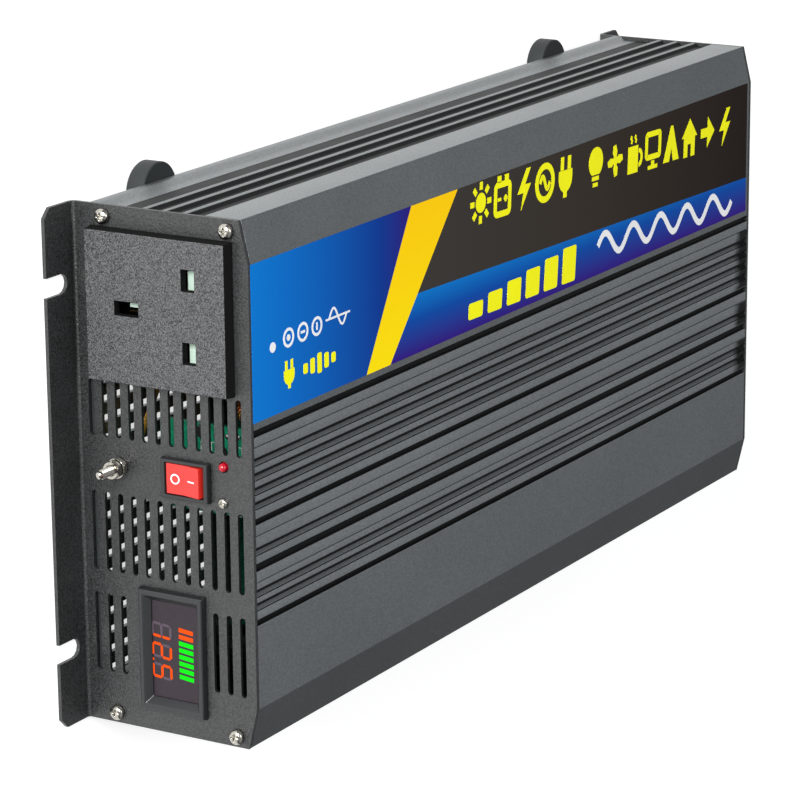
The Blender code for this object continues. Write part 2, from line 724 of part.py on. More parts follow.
# ------------------------------------------------------------------- meter
def meter():
    x = METER_X
    z = METER_Z
    face = -PANEL_FACE - METER_PROUD
    seat = -PANEL_FACE - GAP
    back = -PANEL_FACE + 0.0080
    a, b = METER_HALF
    bm = bmesh.new()
    add_taper(bm, (a - 0.0007, b - 0.0007), (a, b), x, z, face, seat)
    bezel = finished("meter_bezel", bm, "black_plastic")
    body = bmesh.new()
    add_prism(body, rectangle(x, z, 0.0358, 0.0204), "Y", seat - 0.0005, back)
    combine(bezel, body, "UNION")
    cuts = bmesh.new()
    pane_near = face + 0.0027
    add_taper(cuts, (0.0176, 0.0100), (0.0153, 0.0082), x, z, face - 0.0001, pane_near)
    combine(bezel, cuts, "DIFFERENCE")
    hollow = bmesh.new()
    add_prism(hollow, rectangle(x, z, 0.0334, 0.0180), "Y", pane_near - GAP, back + 0.001)
    combine(bezel, hollow, "DIFFERENCE")
    box("meter_window", (x - 0.0164, pane_near, z - 0.0087),
        (x + 0.0164, pane_near + 0.0012, z + 0.0087), "meter_glass")
    board_near = pane_near + 0.0012 + GAP
    box("meter_board", (x - 0.0164, board_near, z - 0.0087),
        (x + 0.0164, board_near + 0.0030, z + 0.0087), "board_green")


# --------------------------------------------------- rear terminals and fans
def battery_terminals():
    """Threaded studs in coloured insulators, with washers and clamping knobs."""
    face = PANEL_FACE
    for name, side, colour in (("positive", -1, "terminal_red"), ("negative", 1, "black_plastic")):
        x = side * TERMINAL_X
        centre = (x, face, TERMINAL_Z)
        tip = 0.0130
        stud = [(-0.0200, 0), (-0.0200, STUD_RADIUS), (tip - 0.0006, STUD_RADIUS),
                (tip, STUD_RADIUS - 0.0006), (tip, 0)]
        turned(f"{name}_stud", stud, centre, "Y", "brass", 24)
        collar = 0.0105
        bore = STUD_RADIUS + GAP
        seat = GAP
        insulator = [(-0.0060, bore), (-0.0060, 0.0070), (seat, 0.0070), (seat, collar),
                     (0.0030, collar), (0.0040, collar - 0.0008), (0.0040, bore), (-0.0060, bore)]
        turned(f"{name}_insulator", insulator, centre, "Y", colour, 24)
        flat = 0.0040 + GAP
        washer = [(flat, bore), (flat, 0.0078), (flat + 0.0012, 0.0078), (flat + 0.0012, bore),
                  (flat, bore)]
        ring = turned(f"{name}_washer", washer, centre, "Y", "brass", 24)
        set_origin(ring, centre)
        knob_near = flat + 0.0012 + GAP
        knob(f"{name}_knob", centre, knob_near, FLANGE, bore, colour)


def knob(name, centre, low, high, bore, colour):
    """A fluted clamping knob with a blind end over the stud's tip."""
    x, y, z = centre
    flutes = 16
    outline = []
    for i in range(flutes * 2):
        radius = KNOB_RADIUS if i % 2 == 0 else KNOB_RADIUS - 0.0006
        turn = math.tau * i / (flutes * 2)
        outline.append((x + radius * math.cos(turn), z + radius * math.sin(turn)))
    piece = prism(name, outline, "Y", y + low, y + high, colour)
    cut = bmesh.new()
    add_prism(cut, circle(x, z, bore, 24), "Y", y + low - 0.001, y + high - 0.0008)
    combine(piece, cut, "DIFFERENCE")
    set_origin(piece, centre)
    return piece


def fans():
    rear = PANEL_BACK - GAP
    front = rear - FAN_DEPTH
    for name, side in (("left", -1), ("right", 1)):
        x = side * FAN_X
        frame = prism(f"fan_frame_{name}", rounded(x, FAN_Z, FAN_SIDE, FAN_SIDE, 0.004), "Y",
                      front, rear, "black_plastic")
        cuts = bmesh.new()
        add_prism(cuts, circle(x, FAN_Z, FAN_BORE, 32), "Y", front + 0.0024, rear + 0.001)
        for start in range(0, 360, 90):
            sector = arc(x, FAN_Z, FAN_BORE - 0.0004, start + 6, start + 84, 6)
            sector += arc(x, FAN_Z, 0.0105, start + 75, start + 15, 3)
            add_prism(cuts, sector, "Y", front - 0.001, front + 0.0030)
        combine(frame, cuts, "DIFFERENCE")
        fan_rotor(f"fan_rotor_{name}", x, front + 0.0032, rear - 0.0014)


def fan_rotor(name, x, front, rear):
    """A hub with pitched blades."""
    hub = 0.0105
    tip = FAN_BORE - 0.0009
    bm = bmesh.new()
    add_prism(bm, circle(x, FAN_Z, hub, 24), "Y", front, rear)
    rotor = finished(name, bm, "black_plastic")
    blades = bmesh.new()
    count = 7
    twist = 24
    thick = 4.0
    for i in range(count):
        lead = 360 * i / count
        rings = []
        for y, turn in ((front + 0.0008, lead), (rear - 0.0008, lead + twist)):
            points = arc(x, FAN_Z, hub - 0.0008, turn, turn + thick * 2, 1)
            points += arc(x, FAN_Z, tip, turn + thick, turn, 1)
            rings.append([blades.verts.new((u, y, v)) for u, v in points])
        blades.faces.new(rings[0])
        blades.faces.new(reversed(rings[1]))
        for a in range(4):
            b = (a + 1) % 4
            blades.faces.new((rings[0][b], rings[0][a], rings[1][a], rings[1][b]))
    bmesh.ops.triangulate(blades, faces=blades.faces)
    combine(rotor, blades, "UNION")
    set_origin(rotor, (x, (front + rear) / 2, FAN_Z))


# --------------------------------------------------------------- electronics
BOARD_TOP = BOARD_Z + BOARD_THICKNESS
PART_SEAT = BOARD_TOP + GAP


def boards():
    box("main_board", (-BOARD_HALF_WIDTH, BOARD_FRONT_Y, BOARD_Z),
        (BOARD_HALF_WIDTH, BOARD_REAR_Y, BOARD_TOP), "board_green")
    near = -PANEL_FACE + 0.0158
    control = box("control_board", (-0.0135, near, 0.0200), (0.0145, near + 0.0016, 0.0600),
                  "board_green")
    return control


def transformer(name, y):
    """A ferrite core with its wound bobbin standing out of both windows."""
    core = box(name, (-0.0210, y - 0.0140, PART_SEAT), (0.0210, y + 0.0140, 0.0500),
               "ferrite_grey")
    bobbin = bmesh.new()
    middle = (PART_SEAT + 0.0500) / 2
    add_prism(bobbin, rounded(0, middle, 0.0300, 0.0260, 0.004), "Y", y - 0.0200, y + 0.0200)
    return combine(core, bobbin, "UNION")


def output_choke():
    """A wound ring core, standing on its edge across the case."""
    ring = 0.0125
    tube = 0.0055
    profile = []
    for i in range(12):
        turn = math.tau * i / 12
        profile.append((tube * math.cos(turn), ring + tube * math.sin(turn)))
    profile.append(profile[0])
    centre = (-0.0120, -PANEL_FACE + 0.0800, PART_SEAT + ring + tube)
    turned("output_choke", profile, centre, "Y", "copper", 24)


def capacitors():
    """Standing cans: two on the high-voltage side, two on the battery side."""
    for name, y, radius, top in (("bus_capacitor", -0.0600, 0.0125, 0.0560),
                                 ("input_capacitor", 0.1000, 0.0090, 0.0500)):
        for side, x in (("left", -0.0400), ("right", 0.0400)):
            profile = [(PART_SEAT, 0), (PART_SEAT, radius), (top - 0.001, radius),
                       (top, radius - 0.001), (top, 0)]
            turned(f"{name}_{side}", profile, (x, y, 0), "Z", "black_plastic", 24)


def heat_bars():
    """Bars that clamp the power transistors against the cover's walls."""
    for name, side in (("left", -1), ("right", 1)):
        x0 = side * 0.0640
        x1 = side * 0.0700
        box(f"heat_bar_{name}", (min(x0, x1), -0.0900, PART_SEAT), (max(x0, x1), 0.0800, 0.0400),
            "raw_aluminium")


def busbars():
    """Copper straps from the battery studs down to the main board."""
    for name, side in (("positive", -1), ("negative", 1)):
        x = side * TERMINAL_X
        near = PANEL_FACE - 0.0165
        top = TERMINAL_Z + 0.0065
        foot_y = BOARD_REAR_Y - 0.0120
        thick = 0.0015
        section = [(near, top), (near - thick, top), (near - thick, PART_SEAT + thick + 0.0010),
                   (foot_y, PART_SEAT + thick), (foot_y, PART_SEAT), (near, PART_SEAT)]
        half = 0.0060
        centre = x - side * 0.0045
        strap = prism(f"{name}_busbar", section, "X", centre - half, centre + half, "copper")
        hole = bmesh.new()
        add_prism(hole, circle(x, TERMINAL_Z, STUD_RADIUS + GAP), "Y", near - 0.003, near + 0.001)
        combine(strap, hole, "DIFFERENCE")


def build():
    clear_scene()
    finishes()
    top_cover()
    base_plate()
    front_panel()
    rear_panel()
    panel_screws()
    feet()
    outlet_housing()
    outlet_shutter()
    outlet_back()
    outlet_contacts()
    switch_frame()
    switch_rocker()
    power_lamp()
    board_screw()
    earth_terminal()
    meter()
    battery_terminals()
    fans()
    boards()
    transformer("front_transformer", -0.0150)
    transformer("rear_transformer", 0.0450)
    output_choke()
    capacitors()
    heat_bars()
    busbars()


build()
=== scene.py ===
"""The look of the power inverter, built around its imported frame. Metres, +Z up."""

import json
import math
import random

import bmesh
import bpy
from mathutils import Matrix, Vector


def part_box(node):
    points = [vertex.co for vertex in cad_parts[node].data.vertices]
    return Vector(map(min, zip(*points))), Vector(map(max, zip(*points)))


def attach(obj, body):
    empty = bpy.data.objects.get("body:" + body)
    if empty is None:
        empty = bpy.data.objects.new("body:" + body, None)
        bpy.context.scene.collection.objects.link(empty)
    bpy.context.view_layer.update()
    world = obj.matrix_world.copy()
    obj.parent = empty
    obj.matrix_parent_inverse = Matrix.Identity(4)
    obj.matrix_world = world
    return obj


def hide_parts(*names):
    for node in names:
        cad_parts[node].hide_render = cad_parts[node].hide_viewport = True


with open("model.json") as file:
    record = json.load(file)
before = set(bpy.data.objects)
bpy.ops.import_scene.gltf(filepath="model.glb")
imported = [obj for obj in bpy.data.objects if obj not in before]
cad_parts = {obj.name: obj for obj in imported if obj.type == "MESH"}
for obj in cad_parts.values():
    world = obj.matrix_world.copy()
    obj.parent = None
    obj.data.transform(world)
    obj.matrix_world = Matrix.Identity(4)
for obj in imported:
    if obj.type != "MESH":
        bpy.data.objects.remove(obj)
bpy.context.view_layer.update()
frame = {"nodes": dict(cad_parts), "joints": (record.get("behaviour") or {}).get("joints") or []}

MM = 0.001
PANEL_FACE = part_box("top_cover")[1].y + 0.0015  # outer face of each end panel
# the fields of fine ribs, from left to right, and the stretch along Y where they darken
RIB_FIELDS = ((-0.0129, 0.0088), (0.0146, 0.0228), (0.0291, 0.0404))
DARK_STRETCH = (0.1630, 0.1680)


# ============================================================ mesh helpers
def linked(name, data):
    item = bpy.data.objects.new(name, data)
    bpy.context.scene.collection.objects.link(item)
    return item


def piece(name, bm, finish, body="case", stands_for=(), smooth=None):
    """The bmesh as a named piece that rides on a body and may stand for CAD nodes."""
    bmesh.ops.recalc_face_normals(bm, faces=bm.faces)
    mesh = bpy.data.meshes.new(name)
    bm.to_mesh(mesh)
    bm.free()
    for material in finish if isinstance(finish, (list, tuple)) else (finish,):
        mesh.materials.append(material)
    if smooth is not None:
        mesh.shade_smooth()
        mesh.set_sharp_from_angle(angle=math.radians(smooth))
    item = linked(name, mesh)
    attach(item, body)
    if stands_for:
        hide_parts(*stands_for)
    return item


def ease(item, width, segments=2, angle=35):
    """Round the piece's sharp edges."""
    item.data.shade_smooth()
    step = item.modifiers.new("eased edges", "BEVEL")
    step.width = width
    step.segments = segments
    step.limit_method = "ANGLE"
    step.angle_limit = math.radians(angle)
    even = item.modifiers.new("even shading", "WEIGHTED_NORMAL")
    even.keep_sharp = True
    even.weight = 80
    return item


def eased(node, width, finish, body="case", segments=2):
    """A copy of a CAD node's shape with rounded edges, standing for the node."""
    bm = bmesh.new()
    bm.from_mesh(frame["nodes"][node].data)
    bmesh.ops.remove_doubles(bm, verts=bm.verts, dist=1e-6)
    bmesh.ops.dissolve_limit(
        bm, angle_limit=math.radians(1), verts=bm.verts, edges=bm.edges
    )
    for face in bm.faces:
        face.material_index = 0
    item = piece(f"{node}_shape", bm, finish, body, (node,))
    return ease(item, width, segments)


def placed(axis, along, u, v):
    return Vector({"X": (along, u, v), "Y": (u, along, v), "Z": (u, v, along)}[axis])


def join(bm, rings, around=True, slot=0):
    """Quads between neighbouring rings of vertices; a ring may be a single vertex."""
    for near, far in zip(rings, rings[1:]):
        count = max(len(near), len(far))
        for i in range(count if around else count - 1):
            j = (i + 1) % count
            corners = list(dict.fromkeys((near[i % len(near)], near[j % len(near)],
                                          far[j % len(far)], far[i % len(far)])))
            if len(corners) > 2:
                bm.faces.new(corners).material_index = slot


def add_prism(bm, outline, axis, low, high):
    """A closed prism: the outline carried along an axis."""
    ends = [[bm.verts.new(placed(axis, at, u, v)) for u, v in outline] for at in (low, high)]
    bm.faces.new(ends[0])
    bm.faces.new(reversed(ends[1]))
    join(bm, ends[::-1])


def add_box(bm, low, high):
    outline = rectangle((low[0] + high[0]) / 2, (low[1] + high[1]) / 2,
                        high[0] - low[0], high[1] - low[1])
    add_prism(bm, outline, "Z", low[2], high[2])


def add_turned(bm, profile, centre, axis="Y", steps=32, slot=0):
    """A solid of revolution from (distance along the axis, radius) pairs."""
    middle = Vector(centre)
    turns = [math.tau * i / steps for i in range(steps)]
    rings = []
    for along, radius in profile:
        points = [(radius * math.cos(t), radius * math.sin(t)) for t in turns]
        rings.append([bm.verts.new(middle + placed(axis, along, u, v))
                      for u, v in (points if radius > 1e-7 else [(0, 0)])])
    join(bm, rings, True, slot)


def turned(name, profile, centre, axis, steps, finish, body="case", stands_for=()):
    """A piece that is a solid of revolution."""
    bm = bmesh.new()
    add_turned(bm, profile, centre, axis, steps)
    return piece(name, bm, finish, body, stands_for, 40)


def ring_at(bm, centre, y, radii):
    """A ring of vertices about a line along Y, with a radius for each step of the turn."""
    x, _, z = centre
    turns = [math.tau * i / len(radii) for i in range(len(radii))]
    return [bm.verts.new((x + r * math.cos(t), y, z + r * math.sin(t)))
            for r, t in zip(radii, turns)]


def rectangle(u, v, width, height):
    a, b = width / 2, height / 2
    return [(u - a, v - b), (u + a, v - b), (u + a, v + b), (u - a, v + b)]


def arc(u, v, radius, start, end, steps):
    turns = [math.radians(start + (end - start) * i / steps) for i in range(steps + 1)]
    return [(u + radius * math.cos(t), v + radius * math.sin(t)) for t in turns]


def circle(u, v, radius, steps=24):
    return arc(u, v, radius, 0, 360 - 360 / steps, steps - 1)


def rounded(u, v, width, height, radius, steps=4):
    a, b = width / 2 - radius, height / 2 - radius
    corners = ((a, b, 0), (-a, b, 90), (-a, -b, 180), (a, -b, 270))
    points = []
    for du, dv, start in corners:
        points += arc(u + du, v + dv, radius, start, start + 90, steps)
    return points


def add_ribbon(bm, points, width, axis, low, high, closed=False):
    """A flat solid along a line of even width drawn through the points."""
    sections = []
    count = len(points)
    for i, (u, v) in enumerate(points):
        before = points[i - 1] if i or closed else points[i]
        after = points[(i + 1) % count] if i + 1 < count or closed else points[i]
        du, dv = after[0] - before[0], after[1] - before[1]
        reach = width / 2 / math.hypot(du, dv)
        near, far = (u - dv * reach, v + du * reach), (u + dv * reach, v - du * reach)
        corners = ((near, low), (far, low), (far, high), (near, high))
        sections.append([bm.verts.new(placed(axis, at, *p)) for p, at in corners])
    if not closed:
        bm.faces.new(sections[0])
        bm.faces.new(reversed(sections[-1]))
    join(bm, sections + sections[:1] if closed else sections)


def middle_of(node):
    low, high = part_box(node)
    return (low + high) / 2


def centre_of(node):
    """The middle of the node's box in full precision, for parts that are computed from it."""
    return [(a + b) / 2 for a, b in zip(*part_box(node))]


def pivot(name):
    return next(joint for joint in frame["joints"] if joint["name"] == name)["pos_m"]


# ======================================================== material helpers
def feed(tree, target, inputs):
    """Set each input of a node to a value, or link it to another node's output."""
    for key, value in inputs.items():
        if isinstance(value, bpy.types.NodeSocket):
            tree.links.new(value, target.inputs[key])
        else:
            target.inputs[key].default_value = value


def add_node(tree, kind, inputs, operation=None, blend=None):
    made = tree.nodes.new(kind)
    if operation:
        made.operation = operation
    if blend:
        made.data_type, made.blend_type = "RGBA", blend
    feed(tree, made, inputs)
    return made


def shader(name, colour, roughness, metallic=0.0, **others):
    """A new material and its Principled shader, with the values that are even all over."""
    material = bpy.data.materials.new(name)
    material.use_nodes = True
    tree = material.node_tree
    surface = tree.nodes["Principled BSDF"]
    feed(tree, surface, {"Base Color": (*colour, 1), "Roughness": roughness, "Metallic": metallic})
    feed(tree, surface, {key.replace("_", " "): value for key, value in others.items()})
    return material, tree, surface


def where(tree):
    """The place of the shaded point in the object's own metres."""
    return add_node(tree, "ShaderNodeTexCoord", {}).outputs["Object"]


def axes(tree, place):
    return add_node(tree, "ShaderNodeSeparateXYZ", {"Vector": place}).outputs


def noise(tree, scale, detail=2.0, stretch=(1, 1, 1)):
    """Noise in the object's own metres; scale is in features per metre."""
    space = add_node(tree, "ShaderNodeMapping", {"Vector": where(tree), "Scale": stretch})
    return add_node(tree, "ShaderNodeTexNoise", {
        "Vector": space.outputs["Vector"], "Scale": scale, "Detail": detail}).outputs["Fac"]


def spread(tree, value, low, high, start=0.3, stop=0.7):
    """Map the range from start to stop to another, and hold it beyond the ends."""
    return add_node(tree, "ShaderNodeMapRange", {
        "Value": value, "From Min": start, "From Max": stop,
        "To Min": low, "To Max": high}).outputs["Result"]


def tint(tree, value, *stops):
    """Map a 0..1 value to a colour."""
    ramp = add_node(tree, "ShaderNodeValToRGB", {"Fac": value})
    elements = ramp.color_ramp.elements
    while len(elements) < len(stops):
        elements.new(0.5)
    for element, (at, colour) in zip(elements, stops):
        element.position = at
        element.color = (*colour, 1)
    return ramp.outputs["Color"]


def bump(tree, value, height):
    """Relief of the given height in metres."""
    return add_node(tree, "ShaderNodeBump", {"Height": value, "Distance": height}).outputs["Normal"]


def shade(colour, factor):
    return tuple(min(1.0, c * factor) for c in colour)


def grained(name, colour, roughness, grain, contrast=0.15, height=0.00004, metallic=0.0,
            stretch=(1, 1, 1), patches=0.06, edge=0.2, **others):
    """A material with fine grain, soft patches and relief. grain is its size in metres,
    and a small edge makes its specks stand out."""
    material, tree, surface = shader(name, colour, roughness, metallic, **others)
    fine = noise(tree, 1 / grain, 2.0, stretch)
    soft = noise(tree, 25, 3.0)
    speckle = tint(tree, fine, (0.5 - edge, shade(colour, 1 - contrast)),
                   (0.5 + edge, shade(colour, 1 + contrast)))
    cloudy = tint(tree, soft, (0.3, (1 - patches,) * 3), (0.7, (1.0,) * 3))
    mixed = add_node(tree, "ShaderNodeMix", {"A": speckle, "B": cloudy, "Factor": 1.0},
                     blend="MULTIPLY")
    feed(tree, surface, {
        "Base Color": mixed.outputs["Result"],
        "Roughness": spread(tree, soft, roughness * 0.92, min(1.0, roughness * 1.08)),
        "Normal": bump(tree, fine, height)})
    return material


# darker towards the rear end of the rib fields
def darkened_near_rear(material):
    """Darken the fields of fine ribs along the last stretch before the rear end."""
    tree = material.node_tree
    surface = tree.nodes["Principled BSDF"]
    place = axes(tree, where(tree))
    ragged = add_node(tree, "ShaderNodeMath", {
        0: noise(tree, 420, 3.0, (1, 0.3, 1)), 1: 0.006, 2: place["Y"]}, "MULTIPLY_ADD")
    along = spread(tree, ragged.outputs["Value"], 0, 1, *DARK_STRETCH)
    stops = []
    for left, right in RIB_FIELDS:
        for x, level in ((left - 0.0002, 0), (left, 1), (right, 1), (right + 0.0002, 0)):
            stops.append(((x + 0.05) / 0.1, (level,) * 3))
    across = tint(tree, spread(tree, place["X"], 0, 1, -0.05, 0.05), *stops)
    amount = add_node(tree, "ShaderNodeMath", {0: along, 1: across}, "MULTIPLY")
    mixed = add_node(tree, "ShaderNodeMix", {
        "Factor": amount.outputs["Value"], "A": surface.inputs["Base Color"].links[0].from_socket,
        "B": (0.010, 0.010, 0.010, 1)}, blend="MIX")
    feed(tree, surface, {"Base Color": mixed.outputs["Result"]})
    return material


def anodised(name, level, roughness=0.42):
    """Anodised metal, whose sharp edges catch light as if they were slightly round."""
    colour = (level * 0.94, level, level * 1.02)
    material = grained(name, colour, roughness, 0.00045, 0.18, 0.000009, 0.9, (1, 0.5, 1), 0.05)
    tree = material.node_tree
    soft = add_node(tree, "ShaderNodeBevel", {"Radius": 0.00022})
    soft.samples = 4
    relief = tree.nodes["Principled BSDF"].inputs["Normal"].links[0].from_node
    feed(tree, relief, {"Normal": soft.outputs["Normal"]})
    return material


def glowing(name, low, high, roughness, light, strength, cells, relief=0, **others):
    """A material that gives off a little light; its colour wanders from low to high."""
    material, tree, surface = shader(name, high, roughness, Emission_Color=(*light, 1),
                                     Emission_Strength=strength, **others)
    fine = noise(tree, cells)
    feed(tree, surface, {"Base Color": tint(tree, fine, (0.3, low), (0.7, high))})
    if relief:
        feed(tree, surface, {"Normal": bump(tree, fine, relief)})
    return material


def lit(name, colour, strength):
    return glowing(name, shade(colour, 0.26), shade(colour, 0.3), 0.4, colour, strength, 900,
                   Specular_IOR_Level=0.1)


def print_material(name, axis, start, stop, stops):
    """Printed film whose colour changes along an axis, between two places in metres."""
    material, tree, surface = shader(name, stops[0][1], 0.5, Specular_IOR_Level=0.08)
    along = spread(tree, axes(tree, where(tree))[axis], 0, 1, start, stop)
    feed(tree, surface, {"Base Color": tint(tree, along, *stops),
                         "Normal": bump(tree, noise(tree, 1400), 0.000006)})
    return material


# =============================================================== materials
extruded = anodised("anodised_extrusion", 0.245)
# painted shade: a darker copy of the same anodised metal for the shoulder that faces +X
shoulder = anodised("anodised_shoulder_painted_shade", 0.150)
# painted light: a lighter copy of the same anodised metal for the top faces at full height
ridges = darkened_near_rear(anodised("anodised_ridges_painted_light", 0.330))
# painted shade: a darker copy of the same anodised metal for the sloping groove floors
slopes = darkened_near_rear(anodised("anodised_slopes_painted_shade", 0.210, 0.5))
# painted shade: a near-black copy of the same anodised metal for the deep groove walls and floors
recess = anodised("anodised_recess_painted_shade", 0.018, 0.6)
powder = grained("powder_coat", (0.0125, 0.0133, 0.0138), 0.45, 0.00052, 0.95, 0.00016,
                 edge=0.13, Specular_IOR_Level=0.85)
spark = grained("spark_textured_plastic", (0.055, 0.056, 0.058), 0.50, 0.00036, 0.92, 0.00015,
                edge=0.15)
# painted shade: a near-black copy of the housing plastic for the housing's sides and slot walls
housing_painted_shade = grained("housing_painted_shade", (0.005, 0.005, 0.005), 0.85, 0.0005, 0.1, 0.000004,
                     Specular_IOR_Level=0.1)
satin_black = grained("satin_black_plastic", (0.022, 0.022, 0.024), 0.42, 0.0004, 0.12, 0.00001)
bezel_grey = grained("bezel_plastic", (0.019, 0.0205, 0.0215), 0.30, 0.0004, 0.12, 0.000012)
# painted shade: a darker copy of the bezel plastic for the bezel walls that don't face forward
bezel_wall_painted_shade = grained("bezel_wall_painted_shade_plastic", (0.012, 0.012, 0.013), 0.25, 0.0005, 0.1, 0.000004)
rubber = grained("foot_rubber", (0.014, 0.0175, 0.018), 0.62, 0.0005, 0.15, 0.00002)
chrome = grained("plated_steel", (0.50, 0.48, 0.43), 0.17, 0.0008, 0.04, 0.000004, 1.0)
brass = grained("brass", (0.78, 0.56, 0.26), 0.24, 0.0006, 0.06, 0.000006, 1.0)
copper = grained("enamelled_copper", (0.62, 0.23, 0.08), 0.28, 0.0006, 0.10, 0.00001, 0.9)
gold_wire = grained("amber_enamelled_wire", (0.80, 0.42, 0.06), 0.28, 0.0006, 0.1, 0.00001, 0.7)
red_plastic = grained("red_plastic", (0.52, 0.020, 0.018), 0.34, 0.0006, 0.08, 0.00001)
pale_plastic = grained("shutter_plastic", (0.42, 0.54, 0.455), 0.42, 0.0005, 0.05, 0.00001)
mask_green = grained("solder_mask", (0.008, 0.26, 0.13), 0.32, 0.0018, 0.25, 0.00002)
ferrite = grained("ferrite", (0.055, 0.05, 0.048), 0.5, 0.0005, 0.2, 0.00003)
tape = grained("yellow_tape", (0.80, 0.56, 0.05), 0.35, 0.002, 0.06, 0.00002)
bare_aluminium = grained("drawn_aluminium", (0.62, 0.63, 0.64), 0.32, 0.0009, 0.06, 0.00001, 1.0,
                         (1, 0.02, 1))
solder = grained("solder", (0.66, 0.66, 0.67), 0.3, 0.0007, 0.1, 0.00002, 1.0)
sleeve = grained("capacitor_sleeve", (0.018, 0.024, 0.06), 0.3, 0.001, 0.08, 0.000006)
ivory = grained("ivory_print", (0.72, 0.72, 0.68), 0.5, 0.001, 0.04, 0.000005)
white_print = grained("white_print", (0.90, 0.90, 0.90), 0.45, 0.0015, 0.02, 0.000002)
yellow_print = grained("yellow_print", (0.98, 0.95, 0.0), 0.45, 0.0015, 0.02, 0.000002,
                       Specular_IOR_Level=0.2)
wire_red = grained("red_insulation", (0.55, 0.02, 0.02), 0.35, 0.001, 0.06, 0.00001)
wire_black = grained("black_insulation", (0.02, 0.02, 0.02), 0.4, 0.001, 0.06, 0.00001)
sticker = grained("blank_fan_sticker", (0.55, 0.56, 0.57), 0.3, 0.001, 0.03, 0.000003)


lit_orange = lit("lit_orange", (1.0, 0.085, 0.0), 0.60)
lit_green = lit("lit_green", (0.0, 0.80, 0.004), 0.72)
unlit = grained("unlit_segment", (0.066, 0.048, 0.066), 0.4, 0.001, 0.05, 0.000004,
                Specular_IOR_Level=0.3)
# painted light: the rocker is no lamp, yet its material gives off a faint red glow
rocker_red = glowing(
    "rocker_red", (0.48, 0.014, 0.010), (0.53, 0.018, 0.013), 0.26, (1.0, 0.10, 0.05), 0.05, 700,
    0.000008, Coat_Weight=0.3, Coat_Roughness=0.15, Subsurface_Weight=0.25,
    Subsurface_Radius=(0.004, 0.001, 0.001), Subsurface_Scale=0.5)
lamp_lens = glowing(
    "lamp_lens", (0.28, 0.001, 0.008), (0.42, 0.003, 0.016), 0.08, (0.9, 0.0, 0.04), 0.05, 1200,
    Coat_Weight=0.6, Coat_Roughness=0.05)
window = grained("meter_window", (0.020, 0.0135, 0.019), 0.34, 0.0005, 0.20, 0.000006,
                 Specular_IOR_Level=0.35)


# ================================================================== camera
def camera():
    """Where the photographer stood, and how the camera was turned."""
    place = Vector((-0.30202, -1.01183, 0.61524))
    to_the_right = Vector((0.00871, 0.50967, 0.86032))
    forward = Vector((0.26338, 0.82881, -0.49367)).normalized()
    back = -forward
    up = back.cross(to_the_right).normalized()
    right = up.cross(back)
    data = bpy.data.cameras.new("camera")
    data.lens = 158.9
    data.sensor_width = 36
    data.clip_start = 0.05
    data.clip_end = 40
    view = linked("camera", data)
    turn = Matrix((right, up, back)).transposed()
    view.matrix_world = Matrix.Translation(place) @ turn.to_4x4()
    bpy.context.scene.camera = view


# ================================================================== studio
def softbox(name, place, size, power):
    """A square light aimed at the middle of the case."""
    data = bpy.data.lights.new(name, "AREA")
    data.shape = "RECTANGLE"
    data.size = data.size_y = size
    data.energy = power
    lamp = linked(name, data)
    lamp.location = place
    aim = Vector((0, 0, 0.03)) - Vector(place)
    lamp.rotation_euler = aim.to_track_quat("-Z", "Y").to_euler()


def studio():
    """A room that is brighter overhead than at the horizon, a floor that glows with a painted pool
    of light round the case, and soft lights.
    """
    world = bpy.data.worlds.new("studio")
    world.use_nodes = True
    tree = world.node_tree
    direction = add_node(tree, "ShaderNodeTexCoord", {}).outputs["Generated"]
    glow = tint(tree, axes(tree, direction)["Z"], (0.0, (0.05, 0.052, 0.055)),
                (0.2, (0.11, 0.113, 0.116)), (0.45, (0.36, 0.37, 0.38)), (0.9, (0.47, 0.48, 0.49)))
    feed(tree, tree.nodes["Background"], {"Color": glow})
    bpy.context.scene.world = world
    bpy.context.scene.view_settings.view_transform = "Standard"

    bm = bmesh.new()
    add_turned(bm, [(0, r) for r in (12.0, 4.0, 2.4, 1.6, 0.8, 0.0)], (0, 0, 0), "Z", 40)
    mesh = bpy.data.meshes.new("floor")
    bm.to_mesh(mesh)
    bm.free()
    material, tree, surface = shader("floor_with_painted_light_pool", (0.60, 0.60, 0.60), 0.8,
                                     Specular_IOR_Level=0.1, Emission_Color=(1, 1, 0.99, 1))
    # painted light: the floor's glow and its colour both fade with distance from the case
    away = add_node(tree, "ShaderNodeVectorMath", {0: where(tree)}, "LENGTH").outputs["Value"]
    near, far = 1.3, 3.5
    feed(tree, surface, {
        "Emission Strength": spread(tree, away, 0.64, 0.06, near, far),
        "Base Color": tint(tree, spread(tree, away, 0, 1, near, far),
                           (0.0, (0.60, 0.60, 0.60)), (1.0, (0.30, 0.30, 0.30)))})
    mesh.materials.append(material)
    linked("floor", mesh)

    softbox("key", (-0.95, -1.85, 0.50), 0.9, 62)
    softbox("overhead", (-0.5, -0.45, 1.8), 1.0, 10)


# ==================================================================== case
def end_outline(node):
    """The outer edge of the node's front end face, as (x, z) points in order."""
    bm = bmesh.new()
    bm.from_mesh(frame["nodes"][node].data)
    bmesh.ops.remove_doubles(bm, verts=bm.verts, dist=1e-6)
    front = min(v.co.y for v in bm.verts)
    faces = [f for f in bm.faces if all(abs(v.co.y - front) < 1e-6 for v in f.verts)]
    after = {}
    for face in faces:
        for loop in face.loops:
            if sum(other in faces for other in loop.edge.link_faces) == 1:
                after[loop.vert.index] = loop.link_loop_next.vert
    bm.verts.ensure_lookup_table()
    loops = []
    while after:
        start, here = after.popitem()
        ring = [bm.verts[start].co.copy(), here.co.copy()]
        while here.index in after:
            here = after.pop(here.index)
            ring.append(here.co.copy())
        loops.append([(p.x, p.z) for p in ring[:-1]])
    bm.free()
    return max(loops, key=lambda ring: max(u for u, v in ring) - min(u for u, v in ring))


